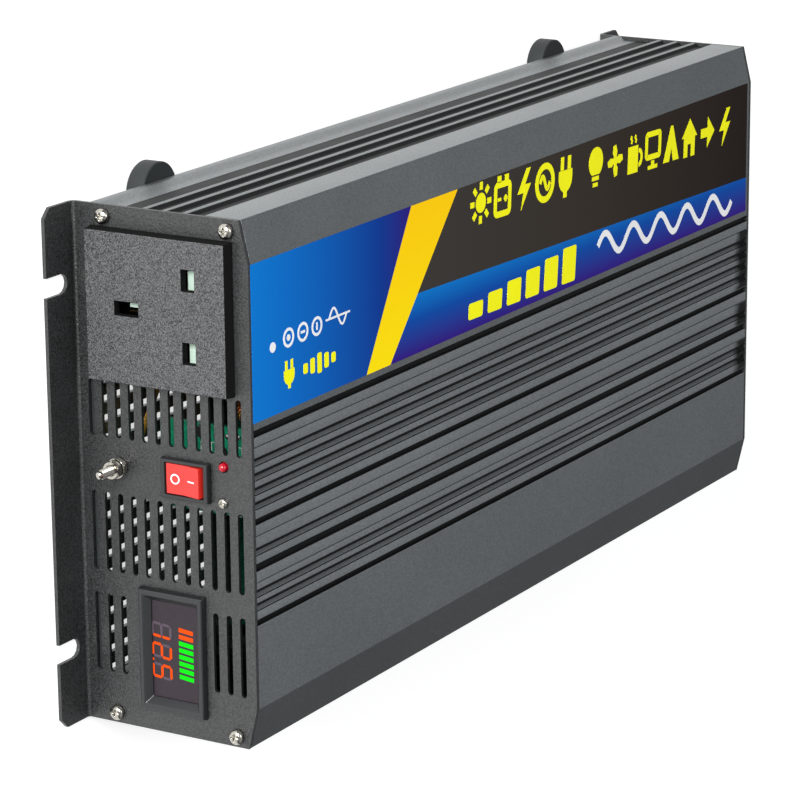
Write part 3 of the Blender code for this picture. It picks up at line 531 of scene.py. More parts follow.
def corner_rounded(outline, radius):
    """The outline with its straight stretches simplified and its corners rounded."""
    points = [Vector(p) for p in outline]
    kept = []
    for i, p in enumerate(points):
        a = p - points[i - 1]
        b = points[(i + 1) % len(points)] - p
        if a.length > 1e-7 and abs(a.normalized().cross(b.normalized())) > 0.01:
            kept.append(p)
    result = []
    for i, p in enumerate(kept):
        a = kept[i - 1] - p
        b = kept[(i + 1) % len(kept)] - p
        cut = min(radius, 0.4 * a.length, 0.4 * b.length)
        near, far = p + a.normalized() * cut, p + b.normalized() * cut
        for t in (0.0, 0.33, 0.67, 1.0):
            q = near * (1 - t) ** 2 + p * 2 * t * (1 - t) + far * t ** 2
            result.append((q.x, q.y))
    return result


def shell():
    """The extruded cover, with painted light on its top faces and painted shade in its grooves and
    on its +X shoulder, and the base plate.
    """
    low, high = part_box("top_cover")
    bm = bmesh.new()
    add_prism(bm, corner_rounded(end_outline("top_cover"), 0.00016), "Y", low.y, high.y)
    bmesh.ops.recalc_face_normals(bm, faces=bm.faces)
    for face in bm.faces:
        if abs(face.normal.y) > 0.5:
            continue
        middle = face.calc_center_median()
        on_top = abs(middle.x) < 0.0435
        depth = high.z - middle.z if on_top else high.x - abs(middle.x)
        across = [v.co.x if on_top else v.co.z for v in face.verts]
        width = max(across) - min(across)
        if not on_top and middle.z > 0.048:
            # painted shade: the upper shoulder facing +X and +Z takes the darker copy
            face.material_index = 4 if face.normal.x > 0.2 and face.normal.z > 0.2 else 0
            continue
        if depth < 0.0002:
            # painted light: top faces at full height take the lighter copy
            face.material_index = 1 if on_top else 0
        elif depth < 0.0009 and (0.0005 < width < 0.0011 if on_top else width > 0.0009):
            # painted shade: shallow groove slopes take the darker copy
            face.material_index = 2
        else:
            # painted shade: deep groove faces take the near-black copy
            face.material_index = 3
    finish = (extruded, ridges, slopes, recess, shoulder)
    piece("cover", bm, finish, "case", ("top_cover",), 30)
    eased("base_plate", 0.00022, extruded)
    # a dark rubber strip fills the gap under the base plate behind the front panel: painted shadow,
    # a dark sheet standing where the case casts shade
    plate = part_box("base_plate")
    strip = bmesh.new()
    add_box(strip, (low.x + 0.006, plate[0].y + 0.0003, plate[0].z - 0.0034),
            (high.x - 0.006, plate[0].y + 0.0040, plate[0].z - 0.00005))
    ease(piece("base_painted_shadow_strip", strip, rubber), 0.0004)


def panels():
    for node in ("front_panel", "rear_panel"):
        eased(node, 0.00018, powder)


def cross_screw(node, seat, facing, head, height):
    """A domed screw with a cross recess, its head standing out from seat along Y."""
    x, _, z = centre_of(node)
    dome = [(0, 0), (0, head * 0.92), (height * 0.18, head), (height * 0.38, head)]
    for angle in range(15, 91, 15):
        t = math.radians(angle)
        dome.append((height * (0.38 + 0.62 * math.sin(t)), head * math.cos(t)))
    item = turned(f"{node}_head", [(facing * h, r) for h, r in dome], (x, seat, z), "Y", 32,
                  chrome, "case", (node,))
    cut = bmesh.new()
    top = seat + facing * height
    for width, length in ((0.16, 0.62), (0.62, 0.16)):
        rings = []
        for at, scale in ((top + facing * 0.0002, 1.0), (top - facing * height * 0.62, 0.45)):
            corners = rectangle(x, z, 2 * head * width * scale, 2 * head * length * scale)
            rings.append([cut.verts.new((u, at, v)) for u, v in corners])
        cut.faces.new(rings[0])
        cut.faces.new(reversed(rings[1]))
        for i in range(4):
            j = (i + 1) % 4
            cut.faces.new((rings[0][j], rings[0][i], rings[1][i], rings[1][j]))
    bmesh.ops.recalc_face_normals(cut, faces=cut.faces)
    mesh = bpy.data.meshes.new(f"{node}_recess")
    cut.to_mesh(mesh)
    cut.free()
    tool = linked(f"{node}_recess", mesh)
    step = item.modifiers.new("recess", "BOOLEAN")
    step.object = tool
    step.use_self = True
    settle(item)
    bpy.data.objects.remove(tool)
    ease(item, 0.00008, 1, 40)


def settle(item):
    """Apply the item's modifiers."""
    graph = bpy.context.evaluated_depsgraph_get()
    mesh = bpy.data.meshes.new_from_object(item.evaluated_get(graph))
    item.modifiers.clear()
    item.data = mesh


def panel_screws():
    height = 0.0021
    for end, facing in (("front", -1), ("rear", 1)):
        for level in ("low", "high"):
            for side in ("left", "right"):
                node = f"{end}_screw_{level}_{side}"
                low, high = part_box(node)
                seat = high.y - height if facing > 0 else low.y + height
                cross_screw(node, seat, facing, (high.x - low.x) / 2, height)
    height = 0.0013
    cross_screw("board_screw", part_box("board_screw")[0].y + height, -1, 0.0016, height)


def feet():
    """Rubber feet with a soft rim and a recessed fixing."""
    well = 0.0036
    head = [(well - 0.0002, 0.0030), (well - 0.0016, 0.0028), (well - 0.0021, 0.0016),
            (well - 0.0022, 0)]
    for end in ("front", "rear"):
        for side in ("left", "right"):
            node = f"foot_{end}_{side}"
            low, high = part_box(node)
            radius, top = (high.x - low.x) / 2, high.z
            centre = (middle_of(node).x, middle_of(node).y, 0)
            profile = [(well, 0), (well, 0.0032), (0.0005, 0.0036), (0, 0.0041),
                       (0, radius - 0.0009), (0.0002, radius - 0.0004), (0.0007, radius),
                       (top - 0.0003, radius), (top, radius - 0.0003), (top, 0)]
            turned(f"{node}_rubber", profile, centre, "Z", 48, rubber, "case", (node,))
            turned(f"{node}_screw", head, centre, "Z", 24, chrome)


# =================================================================== label
class Sheet:
    """Flat printed shapes on the cover, in millimetres: u is along +Y, v is towards -X."""

    def __init__(self, name, finish, thickness):
        self.name = name
        self.finish = finish
        self.bm = bmesh.new()
        self.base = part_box("top_cover")[1].z / MM + 0.02
        self.top = self.base + thickness
        self.count = 0

    def height(self):
        """Shapes that cross each other end at slightly different heights."""
        self.count += 1
        return self.top + 0.004 * (self.count % 5)

    def fill(self, outline):
        points = [(-v, u) for u, v in outline]
        add_prism(self.bm, points, "Z", self.base, self.height())

    def line(self, points, width, closed=False):
        points = [(-v, u) for u, v in points]
        add_ribbon(self.bm, points, width, "Z", self.base, self.height(), closed)

    def done(self):
        many_sided = [f for f in self.bm.faces if len(f.verts) > 4]
        bmesh.ops.triangulate(self.bm, faces=many_sided, ngon_method="EAR_CLIP")
        bmesh.ops.scale(self.bm, vec=(MM, MM, MM), verts=self.bm.verts)
        piece(self.name, self.bm, self.finish)


LABEL_TOP, LABEL_LOW = 68.9, 20.6
LABEL_START, LABEL_END = -170.6, 168.5


def label():
    """The printed film: a blue field, a yellow stripe, a dark field and a blue band."""
    film = 0.10
    left_top, left_low = -78.0, -106.0
    right_top, right_low = -48.6, -91.6
    band_near, band_far = 40.0, 33.2
    part = (LABEL_TOP - band_near) / (LABEL_TOP - LABEL_LOW)
    corner = right_top + (right_low - right_top) * part

    blue = print_material("label_blue", "Y", LABEL_START * MM, left_top * MM, (
        (0.0, (0.0, 0.175, 0.60)), (0.40, (0.0, 0.110, 0.46)), (0.80, (0.001, 0.036, 0.27)),
        (1.0, (0.022, 0.008, 0.19))))
    yellow = print_material("label_yellow", "X", -LABEL_TOP * MM, -LABEL_LOW * MM, (
        (0.0, (1.0, 0.60, 0.0)), (1.0, (1.0, 0.76, 0.0))))
    dark = print_material("label_dark", "Y", right_low * MM, LABEL_END * MM, (
        (0.0, (0.042, 0.038, 0.034)), (0.5, (0.034, 0.026, 0.020)), (1.0, (0.014, 0.008, 0.006))))
    lower = print_material("label_band", "X", -band_near * MM, -LABEL_LOW * MM, (
        (0.0, (0.0, 0.17, 0.56)), (0.42, (0.0, 0.065, 0.36)), (1.0, (0.028, 0.006, 0.20))))

    zones = (
        ("label_left_field", blue, ((LABEL_START, LABEL_LOW), (left_low, LABEL_LOW),
                                    (left_top, LABEL_TOP), (LABEL_START, LABEL_TOP))),
        ("label_stripe", yellow, ((left_low, LABEL_LOW), (right_low, LABEL_LOW),
                                  (right_top, LABEL_TOP), (left_top, LABEL_TOP))),
        ("label_upper_field", dark, ((corner, band_near), (LABEL_END, band_far),
                                     (LABEL_END, LABEL_TOP), (right_top, LABEL_TOP))),
        ("label_lower_band", lower, ((right_low, LABEL_LOW), (LABEL_END, LABEL_LOW),
                                     (LABEL_END, band_far), (corner, band_near))),
    )
    for name, finish, outline in zones:
        sheet = Sheet(name, finish, film)
        sheet.fill(outline)
        sheet.done()


def rays(count, near, far, start=0.0):
    lines = []
    for i in range(count):
        t = math.radians(start) + math.tau * i / count
        c, s = math.cos(t), math.sin(t)
        lines.append([(near * c, near * s), (far * c, far * s)])
    return lines


def signs():
    """Bold signs about 13.8 mm high: filled outlines, then lines with their widths."""
    wave = [(-3.4 + 6.8 * i / 20, 2.3 * math.sin(math.tau * i / 20)) for i in range(21)]
    box = rounded(0, -0.9, 9.6, 9.8, 1.3)
    blades = []
    for i in range(4):
        t = math.tau * i / 4
        c, s = math.cos(t), math.sin(t)
        blade = [(0.6, 0.4), (2.6, 1.9), (5.2, 1.7), (5.7, -0.2), (3.4, -1.3), (0.9, -0.8)]
        blades.append([(c * a - s * b, s * a + c * b) for a, b in blade])
    return {
        "battery": ([rectangle(-2.5, 5.9, 2.6, 2.2), rectangle(2.5, 5.9, 2.6, 2.2),
                     rectangle(-2.1, -0.9, 2.3, 1.1), rectangle(2.1, -0.9, 2.3, 1.1),
                     rectangle(2.1, -0.9, 1.1, 2.3)], [(box, 2.1, True)]),
        "arrow": ([rectangle(-2.4, 0, 5.6, 3.4), [(0.2, -5.6), (6.0, 0), (0.2, 5.6)]], []),
        "sine": ([], [(circle(0, 0, 5.7, 30), 2.2, True), (wave, 1.6, False)]),
        "bolt": ([[(1.4, 6.9), (-4.4, -1.2), (-0.4, -1.2), (0.6, 1.6), (4.2, 6.9)],
                  [(-0.4, -1.2), (-1.8, -6.9), (4.6, 1.6), (0.6, 1.6)]], []),
        "plug": ([[(-4.8, 2.2), (-4.8, -0.6)] + arc(0, -0.6, 4.8, 180, 360, 14) + [(4.8, 2.2)],
                  rectangle(-2.5, 4.6, 2.2, 4.6), rectangle(2.5, 4.6, 2.2, 4.6),
                  rectangle(0, -6.0, 2.4, 2.4)], []),
        "lamp": ([arc(0, 1.7, 5.2, -58, 238, 26), rectangle(0, -4.0, 5.0, 1.5),
                  rectangle(0, -6.2, 3.6, 1.4)], []),
        "sun": ([circle(0, 0, 3.3)], [(line, 1.9, False) for line in rays(8, 4.3, 6.9)]),
        "house": ([[(-6.2, 0.2), (6.2, 0.2), (0, 6.9)], rectangle(-2.9, -3.3, 3.0, 7.2),
                   rectangle(2.9, -3.3, 3.0, 7.2), rectangle(0, -1.0, 3.0, 2.6)], []),
        "fan": ([circle(0, 0, 1.7, 16)] + blades, []),
        "screen": ([rectangle(0, -4.9, 2.4, 1.8), rectangle(0, -6.3, 7.4, 1.4)],
                   [(rounded(0, 1.5, 10.4, 8.2, 0.8), 2.0, True)]),
        "tent": ([[(-6.2, -6.4), (-1.6, -6.4), (0, -1.6), (0, 6.4), (-0.8, 6.4)],
                  [(6.2, -6.4), (1.6, -6.4), (0, -1.6), (0, 6.4), (0.8, 6.4)]], []),
        "mug": ([rectangle(-1.0, -1.6, 7.6, 9.6)],
                [(arc(3.0, -1.4, 2.7, -80, 80, 10), 1.6, False),
                 ([(-2.6, 4.2), (-2.1, 5.2), (-2.9, 6.0), (-2.4, 6.9)], 1.2, False),
                 ([(0.6, 4.2), (1.1, 5.2), (0.3, 6.0), (0.8, 6.9)], 1.2, False)]),
    }


def draw(sheet, sign, u, v, slope, lean=0.0, scale=1.0):
    """Draw a sign around (u, v), leaning over, on a line that slopes down."""
    def moved(points):
        return [(u + scale * (a + lean * b), v + scale * (b - slope * (a + lean * b)))
                for a, b in points]

    outlines, lines = sign
    for outline in outlines:
        sheet.fill(moved(outline))
    for points, width, closed in lines:
        sheet.line(moved(points), width * scale, closed)


def label_signs():
    """Signs that stand where such a label has its wording."""
    known = signs()
    yellow = Sheet("label_yellow_signs", yellow_print, 0.16)
    row = ("sun", "battery", "bolt", "sine", "plug", "lamp", "fan", "mug", "screen", "tent",
           "house", "arrow", "bolt")
    slope = 0.032
    for i, name in enumerate(row):
        along = 14.6 * i + (7.5 if i > 4 else 0)
        draw(yellow, known[name], -33.5 + along, 61.6 - slope * along, slope, 0.06)
    for i in range(6):
        along = 12.9 * i
        tall = 5.4 + 1.4 * i
        bar = ([rounded(0, tall / 2, 9.4, tall, 0.9)], [])
        draw(yellow, bar, -37.4 + along, 23.9 - 0.024 * along, 0.024, 0.10)
    draw(yellow, known["plug"], -150.6, 31.4, 0.0, 0.0, 0.62)
    for i, tall in enumerate((3.2, 4.8, 6.4, 4.8, 3.2)):
        yellow.fill(rounded(-141.4 + 4.0 * i, 30.9, 2.5, tall, 0.7))
    yellow.done()

    white = Sheet("label_white_signs", white_print, 0.16)
    wave = []
    steps, turns = 200, 5
    for i in range(steps + 1):
        along = 107.0 * i / steps
        rise = 3.9 * math.sin(math.tau * turns * i / steps)
        wave.append((49.0 + along, 30.6 - 0.037 * along + rise))
    white.line(wave, 2.3)
    white.fill(circle(-159.4, 41.5, 1.6, 16))
    for u in (-150.6, -142.6, -134.6):
        white.line(circle(u, 42.6, 2.6, 24), 0.9, True)
    white.fill(circle(-150.6, 42.6, 1.0, 14))
    white.fill(rectangle(-142.6, 42.6, 2.4, 0.8))
    white.fill(rectangle(-134.6, 42.6, 0.8, 2.4))
    sine = [(-127.5 + 10.0 * i / 20, 43.2 + 3.0 * math.sin(math.tau * i / 20)) for i in range(21)]
    white.line(sine, 0.75)
    white.line([(-129.5, 43.2), (-115.5, 43.2)], 0.65)
    white.done()


# ================================================================== outlet
def outlet():
    item = eased("outlet_housing", 0.00030, (spark, housing_painted_shade))
    face_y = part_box("outlet_housing")[0].y
    # painted shade: all faces but the front face take the near-black copy
    for face in item.data.polygons:
        if abs(face.center.y - face_y) > 0.0003:
            face.material_index = 1
    shutter = eased("outlet_shutter", 0.00012, pale_plastic, "shutter")
    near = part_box("outlet_shutter")[0].y
    brow = max(v.co.z for v in shutter.data.vertices if v.co.y < near + 0.00001)
    for vertex in shutter.data.vertices:
        ahead = vertex.co.y - near
        if ahead < 0.0007 and brow - 0.0035 < vertex.co.z < brow - 0.0005:
            vertex.co.z -= 0.0028 if ahead < 0.0003 else 0.0024
        if vertex.co.z < 0.0292:
            vertex.co.z -= 0.0026
            if vertex.co.x > middle_of("outlet_shutter").x + 0.0030:
                vertex.co.x -= 0.0010
    eased("outlet_back", 0.0002, satin_black)
    for name in ("line", "neutral", "earth"):
        eased(f"outlet_{name}_contact", 0.00008, brass)


# ================================================================== switch
def bezel(node, sizes, width, segments=2):
    """A frame that stands for the node, with painted shade on every face that doesn't face forward:
    (half width, half height, y) round its section."""
    middle = middle_of(node)
    bm = bmesh.new()
    rings = [[bm.verts.new((u, y, v)) for u, v in rectangle(middle.x, middle.z, 2 * a, 2 * b)]
             for a, b, y in sizes]
    join(bm, rings + rings[:1])
    bmesh.ops.recalc_face_normals(bm, faces=bm.faces)
    for face in bm.faces:
        # painted shade: faces that don't face forward take the darker copy
        face.material_index = 1 if face.normal.y > -0.35 else 0
    item = piece(f"{node}_shape", bm, (bezel_grey, bezel_wall_painted_shade), "case", (node,))
    ease(item, width, segments)


def switch():
    """The mitred frame, the key and the marks on the key's two faces."""
    low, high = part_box("switch_frame")
    seat = low.y + 0.0018
    bezel("switch_frame", (
        (0.0057, 0.0081, high.y), (0.0057, 0.0081, seat), (0.0064, 0.0088, seat),
        (0.0060, 0.0084, low.y), (0.0050, 0.0069, low.y), (0.0050, 0.0069, high.y)), 0.00030)
    eased("switch_rocker", 0.00030, rocker_red, "rocker", 3)

    x, pivot_y, pivot_z = pivot("rocker_tilt")
    tilt = math.radians(6)
    valley, reach = 0.0030, 0.0031
    y = pivot_y - valley * math.cos(tilt)
    z = pivot_z - valley * math.sin(tilt)
    ring = bmesh.new()
    add_ribbon(ring, circle(x, z - reach, 0.0014, 32), 0.00042, "Y", y - 0.00005, y + 0.0002, True)
    bar = bmesh.new()
    add_box(bar, (-0.00021, -0.00005, -0.0013), (0.00021, 0.0002, 0.0013))
    spot = Vector((x, y - math.sin(2 * tilt) * reach, z + math.cos(2 * tilt) * reach))
    place = Matrix.Translation(spot) @ Matrix.Rotation(2 * tilt, 4, "X")
    bmesh.ops.transform(bar, matrix=place, verts=bar.verts)
    piece("switch_off_mark", ring, white_print, "rocker", (), 40)
    piece("switch_on_mark", bar, white_print, "rocker")


# =================================================================== meter
def segment(u0, v0, u1, v1, width):
    """A bar with pointed ends, as on a seven-segment display."""
    along = Vector((u1 - u0, v1 - v0)).normalized()
    across = Vector((-along.y, along.x)) * width / 2
    a, b = Vector((u0, v0)), Vector((u1, v1))
    tip = along * width / 2
    points = [a, a + tip + across, b - tip + across, b, b - tip - across, a + tip - across]
    return [(p.x, p.y) for p in points]


def digit_segments(u, v, width, height, thick):
    """The seven segments of a digit whose lower left corner is (u, v)."""
    gap = thick * 0.12
    left, right, low, mid, top = u, u + width, v, v + height / 2, v + height
    return {
        "a": segment(left + gap, top, right - gap, top, thick),
        "g": segment(left + gap, mid, right - gap, mid, thick),
        "d": segment(left + gap, low, right - gap, low, thick),
        "f": segment(left, mid + gap, left, top - gap, thick),
        "b": segment(right, mid + gap, right, top - gap, thick),
        "e": segment(left, low + gap, left, mid - gap, thick),
        "c": segment(right, low + gap, right, mid - gap, thick),
    }


def meter():
    """The bezel, the window and the lit and unlit segments on it."""
    low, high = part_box("meter_bezel")
    front, back, shelf, seat = low.y, high.y, low.y + 0.0020, low.y + 0.0026
    bezel("meter_bezel", (
        (0.0179, 0.0102, back), (0.0179, 0.0102, shelf), (0.0198, 0.0121, shelf),
        (0.0192, 0.0115, front), (0.0176, 0.0100, front), (0.0153, 0.0082, seat),
        (0.0167, 0.0090, seat), (0.0167, 0.0090, back)), 0.00055, 3)
    eased("meter_window", 0.0001, window)
    eased("meter_board", 0.0001, mask_green)
    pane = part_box("meter_window")[0].y
    lean = 0.10
    layers = {"orange": bmesh.new(), "green": bmesh.new(), "unlit": bmesh.new()}

    def mark(layer, outline, base, height=0.00006):
        leaned = [(u + lean * (v - base), v) for u, v in outline]
        add_prism(layers[layer], leaned, "Y", pane - height, pane + 0.0001)

    base = 0.0257
    for segments, u in (("bc", 0.0470), ("abged", 0.0536), ("afgcd", 0.0602)):
        for name, outline in digit_segments(u, base, 0.0040, 0.0066, 0.00085).items():
            if name in segments:
                mark("orange", outline, base)
            else:
                mark("unlit", outline, base, 0.00003)
    mark("orange", circle(0.0590, base - 0.0001, 0.0005, 12), base)
    for i in range(8):
        bar = rectangle(0.04835 + 0.00215 * i, 0.0380, 0.00138, 0.0052)
        mark("orange" if i < 2 else "green", bar, 0.0380)
    for layer, finish in (("orange", lit_orange), ("green", lit_green), ("unlit", unlit)):
        piece(f"meter_{layer}_segments", layers[layer], finish)


# ================================================ lamp, earth stud, battery
def lamp():
    x, _, z = middle_of("power_lamp")
    dome, rim = 0.00135, 0.0019
    turns = [math.radians(a) for a in range(0, 91, 10)]
    profile = [(dome - dome * math.cos(t), dome * math.sin(t)) for t in turns]
    profile += [(0.0037, dome), (0.0037, rim), (0.0045, rim), (0.0045, 0)]
    turned("power_lamp_lens", profile, (x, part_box("power_lamp")[0].y, z), "Y", 32, lamp_lens,
           "case", ("power_lamp",))


def add_thread(bm, centre, start, end, radius, pitch, facing):
    """A helical thread around a rod along Y, from start to end, as distances from centre."""
    x, y, z = centre
    root = radius - pitch * 0.5
    count = int((end - start) / pitch * 24)
    rings = []
    for i in range(count + 1):
        along = start + (end - start) * i / count
        turn = math.tau * along / pitch
        fade = min(1.0, (end - along) / pitch + 0.15, (along - start) / pitch + 0.15)
        ring = []
        for shift, r in ((-0.5, root), (-0.08, radius), (0.08, radius), (0.5, root)):
            r = root + (r - root) * fade
            at = y + facing * (along + shift * pitch)
            ring.append(bm.verts.new((x + r * math.cos(turn), at, z + r * math.sin(turn))))
        rings.append(ring)
    join(bm, rings, False)


def threaded_rod(node, radius, pitch, facing, finish, start, end):
    """A rod with a helical thread, from start to end out of an end panel, and a round tip."""
    low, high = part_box(node)
    face_y = facing * PANEL_FACE
    x, _, z = centre_of(node)
    centre = (x, face_y, z)
    core = radius - pitch * 0.48
    back = facing * ((low.y if facing > 0 else high.y) - face_y)
    profile = [(back, 0), (back, core), (end - 0.0002, core), (end + 0.0003, core * 0.86),
               (end + 0.0006, core * 0.5), (end + 0.0007, 0)]
    bm = bmesh.new()
    add_turned(bm, [(facing * h, r) for h, r in profile], centre, "Y", 24)
    add_thread(bm, centre, start, end - pitch * 0.6, radius, pitch, facing)
    piece(f"{node}_thread", bm, finish, "case", (node,), 35)


def hex_nut(node, across, body):
    """A hexagon nut with chamfered corners and a countersunk hole."""
    low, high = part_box(node)
    hole, bore, flat, steps = 0.0018, 0.0015, across / 2, 48
    sectors = [(math.tau * i / steps) % (math.pi / 3) - math.pi / 6 for i in range(steps)]
    hexagon = [flat / math.cos(sector) for sector in sectors]
    bm = bmesh.new()
    rings = [ring_at(bm, centre_of(node), y, [radius] * steps if radius else hexagon)
             for y, radius in (
                 (low.y, hole), (low.y + 0.0003, bore), (high.y - 0.0003, bore), (high.y, hole),
                 (high.y, flat - 0.0001), (high.y - 0.00045, None), (low.y + 0.00045, None),
                 (low.y, flat - 0.0001))]
    join(bm, rings + rings[:1])
    piece(f"{node}_shape", bm, chrome, body, (node,), 25)


def earth_terminal():
    threaded_rod("earth_stud", 0.0015, 0.0005, -1, chrome, 0.0006, 0.0118)
    hex_nut("earth_lock_nut", 0.0050, "case")
    hex_nut("earth_nut", 0.0055, "earth_clamp_nut")
    eased("earth_washer", 0.00010, chrome, "earth_clamp")


def battery_terminals():
    for name, finish in (("positive", red_plastic), ("negative", satin_black)):
        eased(f"{name}_insulator", 0.00035, finish)
        eased(f"{name}_washer", 0.00012, brass, f"{name}_clamp")
        threaded_rod(f"{name}_stud", 0.0040, 0.00125, 1, brass, 0.0045, 0.0126)
        knob(name, finish)


def knob(name, finish):
    """A clamping knob with round flutes, a soft rim and a blind bore."""
    node = f"{name}_knob"
    low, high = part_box(node)
    middle = centre_of(node)
    radius, length = (high.x - low.x) / 2, high.y - low.y
    flutes = 16
    count = flutes * 8
    dips = [0.0007 * (0.5 - 0.5 * math.cos(math.tau * i * flutes / count)) ** 1.4
            for i in range(count)]
    bm = bmesh.new()
    bore = [ring_at(bm, middle, y, [0.0043] * count) for y in (high.y - 0.0010, low.y)]
    grip = [ring_at(bm, middle, low.y + along, [radius * scale - depth * dip for dip in dips])
            for along, scale, depth in (
                (0, 0.955, 0.5), (0.0005, 1.0, 1.0), (length - 0.0012, 1.0, 1.0),
                (length - 0.0004, 0.965, 0.7), (length, 0.90, 0.2), (length - 0.0002, 0.60, 0.0))]
    join(bm, bore + grip)
    bm.faces.new(bore[0])
    bm.faces.new(grip[-1])
    piece(f"{name}_knob_grip", bm, finish, f"{name}_clamp_knob", (node,), 40)


def polarity_marks():
    """Plus and minus signs moulded beside the terminals."""
    bm = bmesh.new()
    reach, z, long, wide = 0.0708, 0.0555, 0.0042, 0.0010
    bars = ((-reach, long, wide), (-reach, wide, long), (reach, long, wide))
    for x, width, height in bars:
        proud = 0.00013 if height > width else 0.00012
        add_prism(bm, rectangle(x, z, width, height), "Y", PANEL_FACE - 0.0002,
                  PANEL_FACE + proud)
    piece("polarity_marks", bm, white_print)


# ==================================================================== fans
def fans():
    for side in ("left", "right"):
        eased(f"fan_frame_{side}", 0.0004, satin_black)
        rotor(side)


def rotor(side):
    """A fan wheel with swept, pitched blades and a blank sticker on its hub."""
    node, body = f"fan_rotor_{side}", f"{side}_fan"
    low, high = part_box(node)
    x, _, z = pivot(f"{side}_fan_spin")
    hub, tip = 0.0105, 0.0228
    bm = bmesh.new()
    profile = [(low.y, 0), (low.y, hub - 0.0012), (low.y + 0.0004, hub - 0.0004),
               (low.y + 0.0012, hub), (high.y - 0.0008, hub), (high.y - 0.0002, hub - 0.0004),
               (high.y, hub - 0.0010), (high.y, 0)]
    add_turned(bm, profile, (x, 0, z), "Y", 48)
    blades, cells = 7, 6
    front, rear = low.y + 0.0009, high.y - 0.0009
    for blade in range(blades):
        skins = []
        for skin in (-1, 1):
            grid = []
            for r in range(cells + 1):
                t = r / cells
                radius = hub - 0.0006 + (tip - hub + 0.0006) * t
                row = []
                for c in range(cells + 1):
                    s = c / cells
                    sweep = math.radians(10 * t + 34 * s * (1 - 0.25 * t))
                    angle = math.tau * blade / blades + sweep
                    thick = 0.00045 * math.sin(math.pi * min(1, s * 0.9 + 0.08)) + 0.0001
                    y = front + (rear - front) * (s ** 0.85) + skin * thick
                    row.append(bm.verts.new((x + radius * math.cos(angle), y,
                                             z + radius * math.sin(angle))))
                grid.append(row)
            skins.append(grid)
            join(bm, grid, False)
        join(bm, [g[0] + [row[-1] for row in g[1:]] + g[-1][-2::-1]
                  + [row[0] for row in g[-2:0:-1]] for g in skins])
    piece(f"{node}_wheel", bm, satin_black, body, (node,), 40)
    top = high.y + 0.00012
    turned(f"{node}_sticker", [(high.y, 0), (high.y, 0.0084), (top, 0.0084), (top, 0)],
           (x, 0, z), "Y", 40, sticker, body)


# ============================================================== inner parts
def boards():
    """Circuit boards, with their small parts."""
    for name in ("main_board", "control_board"):
        eased(name, 0.0001, mask_green)
    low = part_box("control_board")[0]
    front = low.y
    random.seed(7)
    chips, metal, prints = bmesh.new(), bmesh.new(), bmesh.new()

    def block(bm, x, z, width, height, proud, lift):
        add_prism(bm, rectangle(x, z, width, height), "Y", front - proud, front - lift)

    for row in range(9):
        for column in range(6):
            x = low.x + 0.0028 + column * 0.0045 + random.uniform(-0.0006, 0.0006)
            z = low.z + 0.0028 + row * 0.0043 + random.uniform(-0.0006, 0.0006)
            kind = random.random()
            if kind < 0.22:
                block(chips, x, z, 0.0032, 0.0026, 0.0013, 0.0001)
                for k in (-1, 0, 1):
                    block(metal, x, z + k * 0.0009, 0.0046, 0.0004, 0.0005, 0.0002)
            elif kind < 0.55:
                block(chips, x, z, 0.0012, 0.0008, 0.0006, 0.0001)
                for k in (-1, 1):
                    block(metal, x + k * 0.0008, z, 0.0006, 0.0008, 0.0006, 0.0001)
            elif kind < 0.8:
                add_ribbon(prints, rectangle(x, z, 0.0032, 0.0022), 0.0003, "Y",
                           front - 0.00005, front - 0.00001, True)
            else:
                add_turned(metal, [(front - 0.0008, 0), (front - 0.0006, 0.0007),
                                   (front - 0.0001, 0.0009)], (x, 0, z), "Y", 12)
    piece("control_board_chips", chips, satin_black)
    piece("control_board_solder", metal, solder)
    piece("control_board_print", prints, ivory)


def squared(turn, factor):
    """The cosine and sine of a turn, pressed towards a square."""
    return [max(-1, min(1, factor * f(turn))) for f in (math.cos, math.sin)]


def wound_ring(name, centre, ring, half, depth, wire, turns, start, finish, steps=40,
               stands_for=(), press=(1, 1)):
    """A ring core on its edge, wound with wire but for start degrees at each end."""
    x, y, z = centre
    profile = []
    for angle in range(0, 361, 30):
        c, s = squared(math.radians(angle), press[0])
        profile.append((y + depth * s, ring + half * c))
    bm = bmesh.new()
    add_turned(bm, profile, (x, 0, z), "Y", steps)
    bmesh.ops.remove_doubles(bm, verts=bm.verts, dist=1e-7)
    piece(f"{name}_core", bm, tape, "case", stands_for, 40)
    points = []
    count = turns * 12
    for i in range(count + 1):
        c, s = squared(math.tau * i / 12, press[1])
        r = ring + (half + wire) * c
        sweep = math.radians(start + (360 - 2 * start) * i / count)
        points.append((x + r * math.cos(sweep), y + (depth + wire) * s, z + r * math.sin(sweep)))
    curve_tube(f"{name}_winding", points, wire, finish)


def coils():
    """The output choke, and a small ring coil behind the vents beside the outlet."""
    node = "output_choke"
    low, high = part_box(node)
    outer, allowance = (high.x - low.x) / 2, 0.00075
    wound_ring(node, centre_of(node), 0.75 * outer, 0.25 * outer - allowance,
               (high.y - low.y) / 2 - allowance, 0.9 * allowance, 44, 18, gold_wire, 64,
               (node,), (1.25, 1.2))
    wound_ring("filter_coil", (-0.0195, -0.1440, 0.0455), 0.0052, 0.0021, 0.0021, 0.00042,
               24, 20, copper)


def curve_tube(name, points, radius, finish):
    """A round wire through the points."""
    data = bpy.data.curves.new(name, "CURVE")
    data.dimensions = "3D"
    data.bevel_depth = radius
    data.bevel_resolution = 2
    data.use_fill_caps = True
    line = data.splines.new("POLY")
    line.points.add(len(points) - 1)
    for place, point in zip(line.points, points):
        place.co = (*point, 1)
    data.materials.append(finish)
    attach(linked(name, data), "case")


